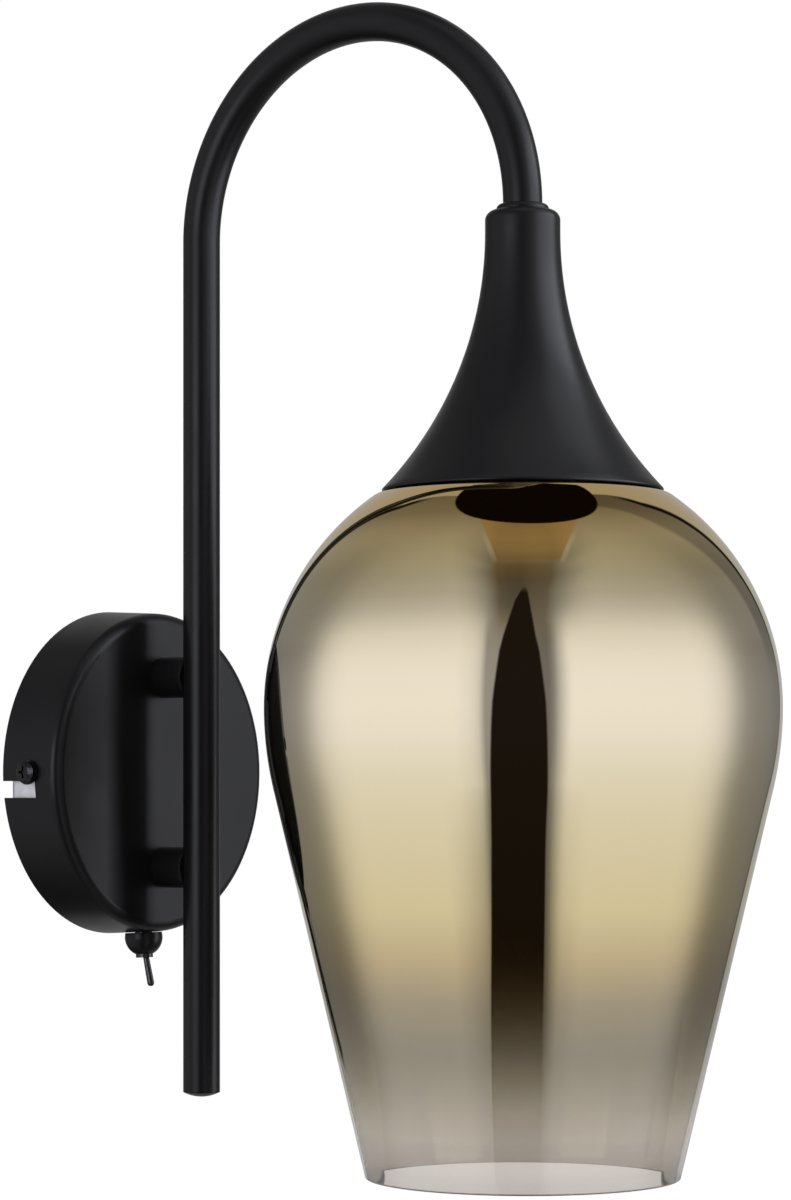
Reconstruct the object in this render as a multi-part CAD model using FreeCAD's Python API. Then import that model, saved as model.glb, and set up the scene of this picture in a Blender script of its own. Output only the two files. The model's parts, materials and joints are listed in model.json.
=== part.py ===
import FreeCAD, Part
import math
import os

# A wall lamp: a round canopy with a toggle switch, an arched tube on two standoffs, and a
# trumpet-shaped cup over a lampholder that carries a mirrored glass shade and a screw-in bulb.
# Millimetres. The origin is on the wall behind the middle of the canopy: +X to the right as
# seen from the room, +Y into the wall, +Z up.

V = FreeCAD.Vector
RIGHT, OUT, UP, DOWN = V(1, 0, 0), V(0, -1, 0), V(0, 0, 1), V(0, 0, -1)

# Canopy: a pressed steel cup, open towards the wall
canopy_radius = 60.0
canopy_depth = 25.0
canopy_sheet = 1.0
canopy_draft_deg = 3.0
canopy_edge_radius = 4.0

# Slots in the canopy's sides, which hang on the bracket's screws
slot_width = 6.0
slot_reach = 14.6
slot_drop = 6.2
slot_leg_width = 5.0

# Wall bracket: a steel strip with an ear bent forward at each end
bracket_sheet = 1.5
bracket_height = 20.0
bracket_ear_depth = 17.0
bracket_ear_gap = 0.6
bracket_bend_radius = 1.5
bracket_corner_radius = 3.0
wall_slot_spacing = 60.0
wall_slot_length = 12.0
wall_slot_width = 4.5

# Screws that hold the canopy to the bracket's ears
side_screw_out = 11.9
side_screw_radius = 2.0
side_screw_length = 9.0
side_head_radius = 4.0
side_head_height = 2.3
side_washer_radius = 4.5
side_washer_thickness = 0.8

# Arm: one tube, straight up from its foot and bent over forwards
tube_radius = 6.75
tube_wall = 1.0
tube_clear = 11.25
arm_bend_radius = 71.3
arm_bend_height = 194.0
arm_foot_drop = 116.7
foot_cap_rise = 1.7
foot_cap_edge = 0.4
foot_cap_spigot = 6.0
tip_insert_length = 6.5

# Standoffs between canopy and tube
standoff_radius = 7.5
standoff_inset = 25.0
standoff_wrap = 2.2
standoff_chamfer = 0.5
standoff_thread_depth = 9.5
wire_hole_radius = 3.0

# Hollow threaded nipple of the upper standoff
link_radius = 4.0
link_bore = 2.7
link_inner_length = 7.0
link_nut_flats = 12.0
link_nut_thickness = 4.0
link_bush_radius = 5.0
link_bush_thickness = 1.5
link_bush_wall = 0.35

# Hexagon screw of the lower standoff
lower_screw_radius = 2.5
lower_head_flats = 8.0
lower_head_height = 3.5
lower_screw_grip = 9.0

star_washer_thickness = 0.8
star_washer_border = 2.2
star_tooth_count = 12
star_tooth_width = 0.8
star_tooth_depth = 1.0

# Neck, between the tube's tip and the lampholder
collar_radius = 9.0
collar_height = 2.1
collar_round = 1.8
neck_nipple_radius = 5.0
neck_nipple_bore = 3.6
neck_nut_flats = 14.0
neck_nut_thickness = 3.5

# Cup: a neck and one long flare, spun from sheet
cup_neck_radius = 12.9
cup_neck_length = 7.5
cup_top_round = 3.4
cup_flare_radius = 127.0
cup_height = 96.2
cup_sheet = 1.2
cup_over_glass = 0.3

# Glass shade: flat seat, spherical shoulder, and a cone that narrows to an open rim
glass_radius = 88.5
glass_seat_radius = 46.8
glass_seat_round = 8.0
glass_waist_radius = 122.0
glass_cone_deg = 13.3
glass_rim_drop = 161.0
glass_wall = 2.4
fitter_radius = 21.0

# Lampholder for a 27 mm screw bulb
skirt_radius = 19.8
skirt_wall = 2.0
skirt_above_seat = 15.0
skirt_below_seat = 15.0
flange_radius = 26.0
flange_thickness = 2.0
gasket_thickness = 1.0
gasket_border = 1.5
shade_ring_radius = 28.0
shade_ring_plate = 2.0
shade_ring_height = 7.0
shade_ring_wall = 3.2
shade_ring_grip_count = 24
shade_ring_grip_radius = 0.8
insert_wall = 2.4
insert_clearance = 0.5
insert_floor = 8.0
insert_rim_width = 1.0
insert_rim_thickness = 2.0
holder_cap_height = 29.0
holder_cap_side = 13.0
holder_cap_wall = 2.0
holder_boss_radius = 8.5
holder_boss_length = 9.0

# Screw thread of the bulb, drawn as waves
thread_radius = 13.2
thread_depth = 1.1
thread_pitch = 3.63
thread_turns = 4
thread_gap = 0.35
shell_sheet = 0.4
shell_ring_width = 2.1

# Contacts and terminals inside the lampholder
contact_sheet = 0.5
contact_width = 4.0
contact_button_radius = 2.0
contact_button_height = 1.1
terminal_offset = 9.5
terminal_side = 6.0
terminal_pin_radius = 1.2
terminal_wire_depth = 4.0
terminal_screw_radius = 1.25
terminal_screw_head = 2.3
terminal_screw_height = 1.6

# Bulb
bulb_radius = 30.0
bulb_length = 106.0
bulb_glass = 1.0
bulb_flare_radius = 40.0
bulb_tip_radius = 4.5
bulb_tip_height = 1.3
bulb_insulator_radius = 9.0
bulb_insulator_height = 2.5
bulb_collar_height = 5.0

# Toggle switch, under the canopy
switch_out = 15.0
switch_bush_radius = 3.17
switch_bush_bore = 2.6
switch_bush_stickout = 1.35
ball_nut_radius = 7.0
ball_nut_drop = 1.9
switch_plate_thickness = 0.8
switch_plate_slot = 3.6
switch_washer_thickness = 0.5
switch_washer_radius = 5.5
switch_length = 13.0
switch_width = 8.0
switch_height = 10.6
switch_wall = 1.0
lever_pivot_depth = 4.2
lever_length = 15.2
lever_root_radius = 1.05
lever_tip_radius = 1.3
lever_ball_gap = 0.08
lever_stem_radius = 0.8
lever_lean_deg = 10.5
plunger_start = 8.4
plunger_reach = 13.3
plunger_radius = 1.4
rocker_tilt_deg = 10.0
rocker_fold_deg = 14.0
rocker_above_pivot = 14.0
rocker_thickness = 0.5
rocker_width = 2.4
rocker_length = 10.8
rocker_button_radius = 0.7
rocker_button_height = 0.3
lug_spacing = 4.7
lug_thickness = 0.8
lug_width = 2.0
lug_reach = 6.0

# Terminal block on the bracket
block_length = 22.0
block_height = 16.0
block_depth = 13.0
block_corner_radius = 1.0
pole_offset = 5.5
pole_sleeve_radius = 2.6
pole_sleeve_bore = 1.6
pole_screw_radius = 1.3
pole_screw_spread = 4.0
pole_screw_sunk = 1.0
screw_slot_width = 0.6
screw_slot_depth = 0.8
block_screw_radius = 1.4
block_screw_head = 2.5
block_screw_head_height = 1.6

# Earthing screw and the ring lugs of the earth wire
earth_screw_offset = 17.8
earth_screw_radius = 1.75
earth_head_radius = 3.2
earth_head_height = 1.8
lug_sheet = 0.6
lug_border = 1.9
lug_tail = 3.0
lug_barrel_radius = 1.5
lug_barrel_length = 4.0

# Wires
wire_radius = 0.95
wire_spread = 1.15
wire_bend = 5.0
wire_tight_bend = 3.5

wire_side = 14.5
wire_back = 8.0
wire_turn = 6.0
wire_lug_straight = 7.5
wire_lug_overlap = 4.5
wire_slope_start = 7.0
wire_neck_start = 3.4
wire_touch = 0.05
earth_wire_rise = 8.0
earth_wire_reach = 9.5
pole_wire_depth = 6.0

# Clearances and one overrun for every cut
same_place = 1e-6
thread_fit = 0.15
hole_fit = 0.25
running_gap = 0.3
cross_width_share = 0.22
cross_length_share = 1.1
cross_depth_share = 0.6
overrun = 2.0

# Places that several pieces share
tube_y = -(canopy_depth + tube_clear + tube_radius)
shade_y = tube_y - 2 * arm_bend_radius
tube_bore = tube_radius - tube_wall
cup_top = arm_bend_height - collar_height
cup_rim = cup_top - cup_height
flare_z = cup_top - cup_neck_length
seat_z = cup_rim - cup_over_glass
seat_round_z = seat_z - glass_seat_round
equator_z = seat_round_z - math.sqrt((glass_radius - glass_seat_round) ** 2 - glass_seat_radius ** 2)
underside_z = seat_z - glass_wall
flange_z = seat_z + gasket_thickness
skirt_top = flange_z + skirt_above_seat
skirt_bottom = seat_z - skirt_below_seat
holder_top = skirt_top + holder_cap_height
insert_radius = skirt_radius - skirt_wall - insert_clearance
insert_rim_radius = skirt_radius - insert_rim_width
insert_top = skirt_top + insert_rim_thickness
socket_floor = insert_top - insert_floor
bulb_top = socket_floor - contact_sheet - contact_button_height - thread_fit
bulb_thread_top = bulb_top - bulb_tip_height - bulb_insulator_height
bulb_thread_bottom = bulb_thread_top - thread_pitch * thread_turns
bulb_collar_bottom = bulb_thread_bottom - bulb_collar_height
neck_nipple_bottom = holder_top - holder_boss_length + overrun
switch_wall_z = -(canopy_radius - switch_out * math.tan(math.radians(canopy_draft_deg)))
ball_nut_z = switch_wall_z - ball_nut_drop
bush_hole = switch_bush_radius + thread_fit
ball_nut_bottom = ball_nut_z - math.sqrt(ball_nut_radius ** 2 - bush_hole ** 2)
bush_end = ball_nut_bottom - switch_bush_stickout
lever_pivot = V(0, -switch_out, bush_end + lever_pivot_depth)
switch_plate_z = switch_wall_z + canopy_sheet + running_gap + switch_washer_thickness
switch_box_z = switch_plate_z + switch_plate_thickness
rocker_pivot = lever_pivot + V(0, 0, rocker_above_pivot)
block_front = bracket_sheet + block_depth
pole_out = bracket_sheet + block_depth / 2
canopy_inside = canopy_depth - canopy_sheet
standoff_height = canopy_radius - standoff_inset
switch_seat = V(0, -switch_out, switch_wall_z)


def canopy_wall(out):
    """Outer radius of the canopy at a distance from the wall."""
    return canopy_radius - out * math.tan(math.radians(canopy_draft_deg))


class Outline:
    """A closed outline of radius and height, drawn point by point and turned about Z."""

    def __init__(self, radius, height):
        self.first = self.here = V(radius, 0, height)
        self.edges = []

    def line(self, radius, height):
        there = V(radius, 0, height)
        if not there.isEqual(self.here, same_place):
            self.edges.append(Part.LineSegment(self.here, there).toShape())
        self.here = there
        return self

    def arc(self, centre, end_deg):
        """Go round a centre, the shorter way, to an angle counted from the radius axis to Z."""
        arm = self.here - V(centre[0], 0, centre[1])
        start = math.atan2(arm.z, arm.x)
        turn = math.remainder(math.radians(end_deg) - start, math.tau)
        middle, there = (V(centre[0] + arm.Length * math.cos(start + turn * part), 0,
                           centre[1] + arm.Length * math.sin(start + turn * part)) for part in (0.5, 1))
        self.edges.append(Part.Arc(self.here, middle, there).toShape())
        self.here = there
        return self

    def wave(self, height, bulge):
        """A shallow arc straight up or down, which stands out by the bulge."""
        middle = V(self.here.x + bulge, 0, (self.here.z + height) / 2)
        there = V(self.here.x, 0, height)
        self.edges.append(Part.Arc(self.here, middle, there).toShape())
        self.here = there
        return self

    def turned(self):
        self.line(self.first.x, self.first.z)
        return Part.Face(Part.Wire(self.edges)).revolve(V(), UP, 360)


def on_shade_axis(shape):
    shape.translate(V(0, shade_y, 0))
    return shape


def placed(shape, place, direction):
    """Move a shape drawn along +Z to its place, with +Z turned to a direction."""
    shape.Placement = FreeCAD.Placement(place, FreeCAD.Rotation(UP, direction)).multiply(shape.Placement)
    return shape


def rod(radius, start, end):
    return Part.makeCylinder(radius, (end - start).Length, start, end - start)


def ring(outer, inner, start, end):
    return rod(outer, start, end).cut(rod(inner, start, end))


def block(low, high):
    size = high - low
    return Part.makeBox(size.x, size.y, size.z, low)


def upright_edges(shape, direction):
    """The straight edges of a shape that run along a direction."""
    return [edge for edge in shape.Edges
            if isinstance(edge.Curve, Part.Line) and edge.Curve.Direction.cross(direction).Length < 0.5]


def path(points, radii):
    """Straight runs through the points, joined by tangent arcs of the given radii."""
    edges, here = [], points[0]
    for before, corner, after, radius in zip(points, points[1:], points[2:], radii):
        back, ahead = (before - corner).normalize(), (after - corner).normalize()
        half_turn = (math.pi - back.getAngle(ahead)) / 2
        reach = radius * math.tan(half_turn)
        start, end = corner + back * reach, corner + ahead * reach
        middle = corner + (back + ahead).normalize() * radius * (1 / math.cos(half_turn) - 1)
        if not here.isEqual(start, same_place):
            edges.append(Part.LineSegment(here, start).toShape())
        edges.append(Part.Arc(start, middle, end).toShape())
        here = end
    edges.append(Part.LineSegment(here, points[-1]).toShape())
    return Part.Wire(edges)


def swept(radius, points, radii):
    """A round bar along a path."""
    profile = Part.Wire(Part.makeCircle(radius, points[0], points[1] - points[0]))
    return path(points, radii).makePipeShell([profile], True, False)


def hex_nut(flats, thickness, bore):
    """A hexagon nut on the XY plane with its corners bevelled on both sides."""
    corner = flats / math.sqrt(3)
    corners = [V(corner * math.cos(k * math.pi / 3), corner * math.sin(k * math.pi / 3), 0)
               for k in range(7)]
    body = Part.Face(Part.makePolygon(corners)).extrude(V(0, 0, thickness))
    bevel = corner - flats / 2
    round_body = (Outline(bore, 0).line(flats / 2, 0).line(corner, bevel)
                  .line(corner, thickness - bevel).line(flats / 2, thickness)
                  .line(bore, thickness).turned())
    return body.common(round_body)


def star_washer(bore, outer):
    """A flat washer with teeth cut round its outer edge."""
    washer = ring(outer, bore, V(), V(0, 0, star_washer_thickness))
    tooth_gap = block(V(outer - star_tooth_depth, -star_tooth_width / 2, -overrun),
                      V(outer + overrun, star_tooth_width / 2, star_washer_thickness + overrun))
    for number in range(star_tooth_count):
        washer = washer.cut(tooth_gap.rotated(V(), UP, 360 / star_tooth_count * number))
    return washer


def domed_head(radius, height):
    """A screw head with a domed top, standing on the XY plane."""
    rise = height / 2
    sphere = (radius ** 2 + rise ** 2) / (2 * rise)
    return (Outline(0, 0).line(radius, 0).line(radius, height - rise)
            .arc((0, height - sphere), 90).turned())


def cross_screw(head_radius, head_height, shank_radius, length):
    """A pan head screw with a cross recess: the head above the XY plane, the shank below."""
    shank = rod(shank_radius, V(0, 0, -length), V())
    screw = domed_head(head_radius, head_height).fuse(shank).removeSplitter()
    half_width = head_radius * cross_width_share / 2
    half_length = head_radius * cross_length_share / 2
    floor = head_height * (1 - cross_depth_share)
    for wide, long in ((half_width, half_length), (half_length, half_width)):
        screw = screw.cut(block(V(-wide, -long, floor), V(wide, long, head_height + overrun)))
    return screw


def slotted_screw(radius, length):
    """A headless screw with a slot across its top, hanging below the XY plane."""
    half_width, half_length = screw_slot_width / 2, radius + overrun
    slot = block(V(-half_length, -half_width, -screw_slot_depth), V(half_length, half_width, overrun))
    return rod(radius, V(0, 0, -length), V()).cut(slot)


def ring_lug(hole):
    """A crimp lug: a ring round the origin, and a tail and barrel towards +X."""
    outer = hole + lug_border
    barrel_start = outer + lug_tail
    centre = V(0, 0, lug_barrel_radius)
    lug = ring(outer, hole, V(), V(0, 0, lug_sheet))
    tail = block(V(hole + lug_border / 2, -lug_barrel_radius, 0),
                 V(barrel_start + lug_sheet, lug_barrel_radius, lug_sheet))
    barrel = rod(lug_barrel_radius, V(barrel_start, 0, 0) + centre,
                 V(barrel_start + lug_barrel_length, 0, 0) + centre)
    bore = rod(wire_radius, V(barrel_start, 0, 0) + centre,
               V(barrel_start + lug_barrel_length, 0, 0) + centre)
    return lug.fuse(tail).fuse(barrel).removeSplitter().cut(bore)


def canopy():
    front = canopy_wall(canopy_depth)
    cup = Part.makeCone(canopy_radius, front, canopy_depth, V(), OUT)
    hollow = Part.makeCone(canopy_radius - canopy_sheet, canopy_wall(canopy_inside) - canopy_sheet,
                           canopy_inside, V(), OUT)
    shell = edge_rounded(cup, canopy_depth, canopy_edge_radius).cut(
        edge_rounded(hollow, canopy_inside, canopy_edge_radius - canopy_sheet))
    for side in (-1, 1):
        shell = shell.cut(side_slot(side))
    for height, radius in ((standoff_height, link_radius), (-standoff_height, lower_screw_radius)):
        shell = shell.cut(rod(radius + hole_fit, V(0, overrun - canopy_inside, height),
                              V(0, -canopy_depth - overrun, height)))
    return shell.cut(tipped(rod(switch_bush_radius + hole_fit, V(0, -switch_out, 0),
                                V(0, -switch_out, -canopy_radius - overrun))))


def edge_rounded(cone, depth, radius):
    """Round the edge of a cone's face that lies at a depth in front of the wall."""
    edges = [edge for edge in cone.Edges if isinstance(edge.Curve, Part.Circle)
             and abs(edge.Curve.Center.y + depth) < radius / 2]
    return cone.makeFillet(radius, edges)


def side_slot(side):
    """The opening in one side of the canopy: in from the wall, then up to the screw."""
    outer = canopy_radius + overrun
    inner = canopy_radius / 2
    low, high = sorted((side * inner, side * outer))
    half_entry = slot_width / 2
    entry = block(V(low, -slot_reach, -slot_drop - half_entry), V(high, overrun, half_entry - slot_drop))
    half = slot_leg_width / 2
    leg = block(V(low, -side_screw_out - half, -slot_drop), V(high, -side_screw_out + half, 0))
    end = rod(half, V(side * inner, -side_screw_out, 0), V(side * outer, -side_screw_out, 0))
    return entry.fuse(leg).fuse(end)


def ear_face():
    """Where the outer faces of the bracket's ears stand, just inside the canopy."""
    inside = canopy_wall(bracket_ear_depth) - canopy_sheet
    return math.sqrt(inside ** 2 - (bracket_height / 2) ** 2) - bracket_ear_gap


def wall_bracket():
    face, half = ear_face(), bracket_height / 2
    body = block(V(-face, -bracket_ear_depth, -half), V(face, 0, half))
    outer_corners = [edge for edge in upright_edges(body, UP) if edge.CenterOfMass.y > -bracket_sheet]
    body = body.makeFillet(bracket_bend_radius + bracket_sheet, outer_corners)
    inside = block(V(-face + bracket_sheet, -bracket_ear_depth - overrun, -half - overrun),
                   V(face - bracket_sheet, -bracket_sheet, half + overrun))
    inner_corners = [edge for edge in upright_edges(inside, UP) if edge.CenterOfMass.y > -2 * bracket_sheet]
    body = body.cut(inside.makeFillet(bracket_bend_radius, inner_corners))
    ear_corners = [edge for edge in upright_edges(body, RIGHT)
                   if edge.CenterOfMass.y < -bracket_ear_depth + bracket_sheet]
    body = body.makeFillet(bracket_corner_radius, ear_corners)
    body = body.cut(rod(side_screw_radius + thread_fit, V(-canopy_radius, -side_screw_out, 0),
                        V(canopy_radius, -side_screw_out, 0)))
    for side in (-1, 1):
        body = body.cut(wall_slot(side * wall_slot_spacing / 2))
    front = -bracket_sheet - overrun
    for place, radius in ((0, block_screw_radius), (earth_screw_offset, earth_screw_radius)):
        body = body.cut(rod(radius + thread_fit, V(place, overrun, 0), V(place, front, 0)))
    return body


def wall_slot(centre):
    half = wall_slot_width / 2
    straight = wall_slot_length / 2 - half
    back, front = overrun, -bracket_sheet - overrun
    slot = block(V(centre - straight, front, -half), V(centre + straight, back, half))
    for end in (centre - straight, centre + straight):
        slot = slot.fuse(rod(half, V(end, front, 0), V(end, back, 0)))
    return slot


def side_washer_seat():
    """Where the washer clears the tapered side of the canopy."""
    return canopy_wall(side_screw_out - side_washer_radius)


def side_pieces():
    """The screws at both ends of the bracket, and their washers."""
    screws, washers = [], []
    for side in (-1, 1):
        seat = side_washer_seat()
        outer = seat + side_washer_thickness
        screw = cross_screw(side_head_radius, side_head_height, side_screw_radius, side_screw_length)
        screws.append(placed(screw, V(side * outer, -side_screw_out, 0), RIGHT * side))
        washers.append(ring(side_washer_radius, side_screw_radius + thread_fit,
                            V(side * seat, -side_screw_out, 0), V(side * outer, -side_screw_out, 0)))
    return Part.makeCompound(screws), Part.makeCompound(washers)


def arm_points(shift=0.0, foot=-arm_foot_drop, tip=arm_bend_height):
    """Up the back leg, over the bend and down to the tip, moved sideways by the shift."""
    top = arm_bend_height + arm_bend_radius
    return [V(shift, tube_y, foot), V(shift, tube_y, top), V(shift, shade_y, top), V(shift, shade_y, tip)]


def arm_bar(radius):
    points = arm_points()
    points[-1] = points[-1] - V(0, 0, tip_insert_length)
    bar = swept(radius, points, [arm_bend_radius] * 2)
    below_tip = block(V(-tube_radius - overrun, shade_y - tube_radius - overrun, -arm_foot_drop),
                      V(tube_radius + overrun, shade_y + tube_radius + overrun, arm_bend_height))
    return bar.cut(below_tip)


def arm_tube():
    wire_hole = rod(wire_hole_radius, V(0, tube_y, standoff_height),
                    V(0, tube_y + tube_radius + overrun, standoff_height))
    return arm_bar(tube_radius).cut(arm_bar(tube_bore)).cut(wire_hole)


def arm_end_cap():
    """A domed plug in the tube's foot."""
    edge_z = -arm_foot_drop - foot_cap_edge
    sphere = (tube_radius ** 2 + foot_cap_rise ** 2) / (2 * foot_cap_rise)
    spigot = tube_bore - thread_fit
    cap = (Outline(0, -arm_foot_drop + foot_cap_spigot).line(spigot, -arm_foot_drop + foot_cap_spigot)
           .line(spigot, -arm_foot_drop).line(tube_radius, -arm_foot_drop).line(tube_radius, edge_z)
           .arc((0, edge_z - foot_cap_rise + sphere), -90).turned())
    cap.translate(V(0, tube_y, 0))
    return cap


def arm_tip_insert():
    """The threaded insert in the tube's tip, which follows the bend."""
    reach = block(V(-tube_radius, shade_y - tube_radius, arm_bend_height),
                  V(tube_radius, shade_y + tube_radius, arm_bend_height + tip_insert_length))
    bore = rod(neck_nipple_radius + thread_fit, V(0, shade_y, arm_bend_height - overrun),
               V(0, shade_y, arm_bend_height + tip_insert_length + overrun))
    return arm_bar(tube_bore - thread_fit).common(reach).cut(bore)


def standoff(height, thread_radius_here, wire_hole):
    """A turned spacer, tapped at the canopy and hollowed at the other end to fit the tube."""
    end = -(canopy_depth + tube_clear + standoff_wrap)
    body = (Outline(0, canopy_depth).line(standoff_radius, canopy_depth)
            .line(standoff_radius, -end - standoff_chamfer).line(standoff_radius - standoff_chamfer, -end)
            .line(0, -end).turned())
    body = placed(body, V(0, 0, height), OUT)
    body = body.cut(rod(tube_radius, V(0, tube_y, height - 2 * standoff_radius),
                        V(0, tube_y, height + 2 * standoff_radius)))
    body = body.cut(rod(thread_radius_here + thread_fit, V(0, overrun - canopy_depth, height),
                        V(0, -canopy_depth - standoff_thread_depth, height)))
    if wire_hole:
        body = body.cut(rod(wire_hole_radius, V(0, -canopy_depth, height), V(0, tube_y, height)))
    return body


def upper_link():
    """The hollow nipple in the upper standoff with its washer, nut and plastic end bush."""
    height = standoff_height
    inner_end = V(0, link_inner_length - canopy_inside, height)
    outer_end = V(0, thread_fit - canopy_depth - standoff_thread_depth, height)
    nipple = ring(link_radius, link_bore, outer_end, inner_end)
    washer = placed(star_washer(link_radius + thread_fit, link_radius + thread_fit + star_washer_border),
                    V(0, star_washer_thickness - canopy_inside, height), OUT)
    nut_front = star_washer_thickness + lug_sheet - canopy_inside
    nut = placed(hex_nut(link_nut_flats, link_nut_thickness, link_radius + thread_fit),
                 V(0, nut_front, height), OUT * -1)
    bore = link_bore - thread_fit - link_bush_wall
    bush = (Outline(bore, -overrun).line(link_bore - thread_fit, -overrun).line(link_bore - thread_fit, 0)
            .line(link_bush_radius, 0).line(link_bush_radius, link_bush_thickness)
            .line(bore, link_bush_thickness).turned())
    return nipple, washer, nut, placed(bush, inner_end, OUT * -1)


def lower_fixing():
    """The hexagon screw in the lower standoff with its washer."""
    bore = lower_screw_radius + thread_fit
    seat = V(0, star_washer_thickness - canopy_inside, -standoff_height)
    washer = placed(star_washer(bore, bore + star_washer_border), seat, OUT)
    head = hex_nut(lower_head_flats, lower_head_height, 0)
    length = star_washer_thickness + canopy_sheet + lower_screw_grip
    screw = head.fuse(rod(lower_screw_radius, V(), V(0, 0, -length))).removeSplitter()
    return placed(screw, seat, OUT * -1), washer


def neck_collar():
    """The small domed ring between the tube's tip and the cup."""
    bore = neck_nipple_radius + thread_fit
    flat = collar_radius - collar_round
    return on_shade_axis(Outline(bore, cup_top).line(collar_radius, cup_top)
                         .line(collar_radius, arm_bend_height - collar_round)
                         .arc((flat, arm_bend_height - collar_round), 90)
                         .line(bore, arm_bend_height).turned())


def neck_nipple():
    return ring(neck_nipple_radius, neck_nipple_bore, V(0, shade_y, neck_nipple_bottom),
                V(0, shade_y, arm_bend_height + tip_insert_length - thread_fit))


def neck_fasteners():
    """The washer and nut under the cup's top, and the lock nut on the lampholder."""
    bore = neck_nipple_radius + thread_fit
    washer_z = cup_top - cup_sheet - star_washer_thickness
    washer = star_washer(bore, bore + star_washer_border)
    washer.translate(V(0, 0, washer_z))
    nuts = []
    for bottom in (washer_z - neck_nut_thickness, holder_top):
        nut = hex_nut(neck_nut_flats, neck_nut_thickness, bore)
        nut.translate(V(0, 0, bottom))
        nuts.append(on_shade_axis(nut))
    return on_shade_axis(washer), nuts[0], nuts[1]


def shade_cup():
    """The trumpet-shaped cup: neck, one long flare and a rounded lip."""
    centre = (cup_neck_radius + cup_flare_radius, flare_z)
    rim_deg = 180 + math.degrees(math.asin((flare_z - cup_rim) / cup_flare_radius))
    top_inside = cup_top - cup_sheet
    round_inside = cup_top_round - cup_sheet
    round_z = cup_top - cup_top_round
    inner_flare = cup_flare_radius + cup_sheet
    inner_rim_deg = 180 + math.degrees(math.asin((flare_z - cup_rim) / inner_flare))
    inner_rim = centre[0] + inner_flare * math.cos(math.radians(inner_rim_deg))
    bore = neck_nipple_radius + hole_fit
    return on_shade_axis(
        Outline(bore, cup_top).line(cup_neck_radius - cup_top_round, cup_top)
        .arc((cup_neck_radius - cup_top_round, round_z), 0).line(cup_neck_radius, flare_z)
        .arc(centre, rim_deg).line(inner_rim, cup_rim).arc(centre, 180)
        .line(cup_neck_radius - cup_sheet, round_z)
        .arc((cup_neck_radius - cup_top_round, round_z), 90).line(bore, top_inside).turned())


def glass_wall_side(shell, inset, down):
    """Draw one side of the glass, at an inset from its outer face, downwards or upwards."""
    shoulder_deg = math.degrees(math.atan2(seat_round_z - equator_z, glass_seat_radius))
    waist = (glass_radius - glass_waist_radius, equator_z)
    cone = math.radians(glass_cone_deg)
    waist_r = waist[0] + (glass_waist_radius - inset) * math.cos(cone)
    waist_z = equator_z - (glass_waist_radius - inset) * math.sin(cone)
    rim_z = equator_z - glass_rim_drop + glass_wall / 2
    rim_r = waist_r - (waist_z - rim_z) * math.tan(cone)
    if down:
        return (shell.line(glass_seat_radius, seat_z - inset)
                .arc((glass_seat_radius, seat_round_z), shoulder_deg)
                .arc((0, equator_z), 0).arc(waist, -glass_cone_deg).line(rim_r, rim_z))
    return (shell.line(waist_r, waist_z).arc(waist, 0).arc((0, equator_z), shoulder_deg)
            .arc((glass_seat_radius, seat_round_z), 90).line(fitter_radius, seat_z - inset))


def glass_shade():
    """Blown glass of even thickness with a rounded rim."""
    shell = glass_wall_side(Outline(fitter_radius, seat_z), 0, True)
    cone = math.radians(glass_cone_deg)
    across = V(-math.cos(cone), 0, math.sin(cone)) * glass_wall
    rim_centre = shell.here + across / 2
    tip = shell.here + across
    bottom = rim_centre + V(-math.sin(cone), 0, -math.cos(cone)) * (glass_wall / 2)
    shell.edges.append(Part.Arc(shell.here, bottom, tip).toShape())
    shell.here = tip
    return on_shade_axis(glass_wall_side(shell, glass_wall, False).turned())


def lampholder_skirt():
    """The lampholder's lower casing, with the flange that rests on the glass."""
    inner = skirt_radius - skirt_wall
    flange_top = flange_z + flange_thickness
    return on_shade_axis(
        Outline(inner, skirt_bottom).line(skirt_radius, skirt_bottom).line(skirt_radius, flange_z)
        .line(flange_radius, flange_z).line(flange_radius, flange_top).line(skirt_radius, flange_top)
        .line(skirt_radius, skirt_top).line(inner, skirt_top).turned())


def shade_gaskets():
    """Soft rings above and below the seat of the glass."""
    inner = skirt_radius + gasket_border
    outer = flange_radius - gasket_border
    rings = [ring(outer, inner, V(0, shade_y, bottom), V(0, shade_y, bottom + gasket_thickness))
             for bottom in (seat_z, underside_z - gasket_thickness)]
    return Part.makeCompound(rings)


def shade_ring():
    """The ring that screws up the skirt and clamps the glass, with finger grips round it."""
    bore = skirt_radius + thread_fit
    outer = skirt_radius + shade_ring_wall
    top = underside_z - gasket_thickness
    body = (Outline(bore, top).line(shade_ring_radius, top).line(shade_ring_radius, top - shade_ring_plate)
            .line(outer, top - shade_ring_plate).line(outer, top - shade_ring_height)
            .line(bore, top - shade_ring_height).turned())
    groove_centre = outer + shade_ring_grip_radius / 2
    groove = rod(shade_ring_grip_radius, V(groove_centre, 0, top - shade_ring_height - overrun),
                 V(groove_centre, 0, top - shade_ring_plate))
    for number in range(shade_ring_grip_count):
        body = body.cut(groove.rotated(V(), UP, 360 / shade_ring_grip_count * number))
    return on_shade_axis(body)


def lampholder_insert():
    """The ceramic insert: a sleeve round the threaded shell, a floor and a rim on the skirt."""
    inner = insert_radius - insert_wall
    body = (Outline(0, socket_floor).line(inner, socket_floor).line(inner, skirt_bottom + overrun)
            .line(insert_radius, skirt_bottom + overrun).line(insert_radius, skirt_top)
            .line(insert_rim_radius, skirt_top).line(insert_rim_radius, insert_top)
            .line(0, insert_top).turned())
    for x in (-terminal_offset, terminal_offset):
        body = body.cut(rod(terminal_pin_radius + thread_fit, V(x, 0, socket_floor - overrun),
                            V(x, 0, insert_top + overrun)))
    return on_shade_axis(body)


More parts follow.
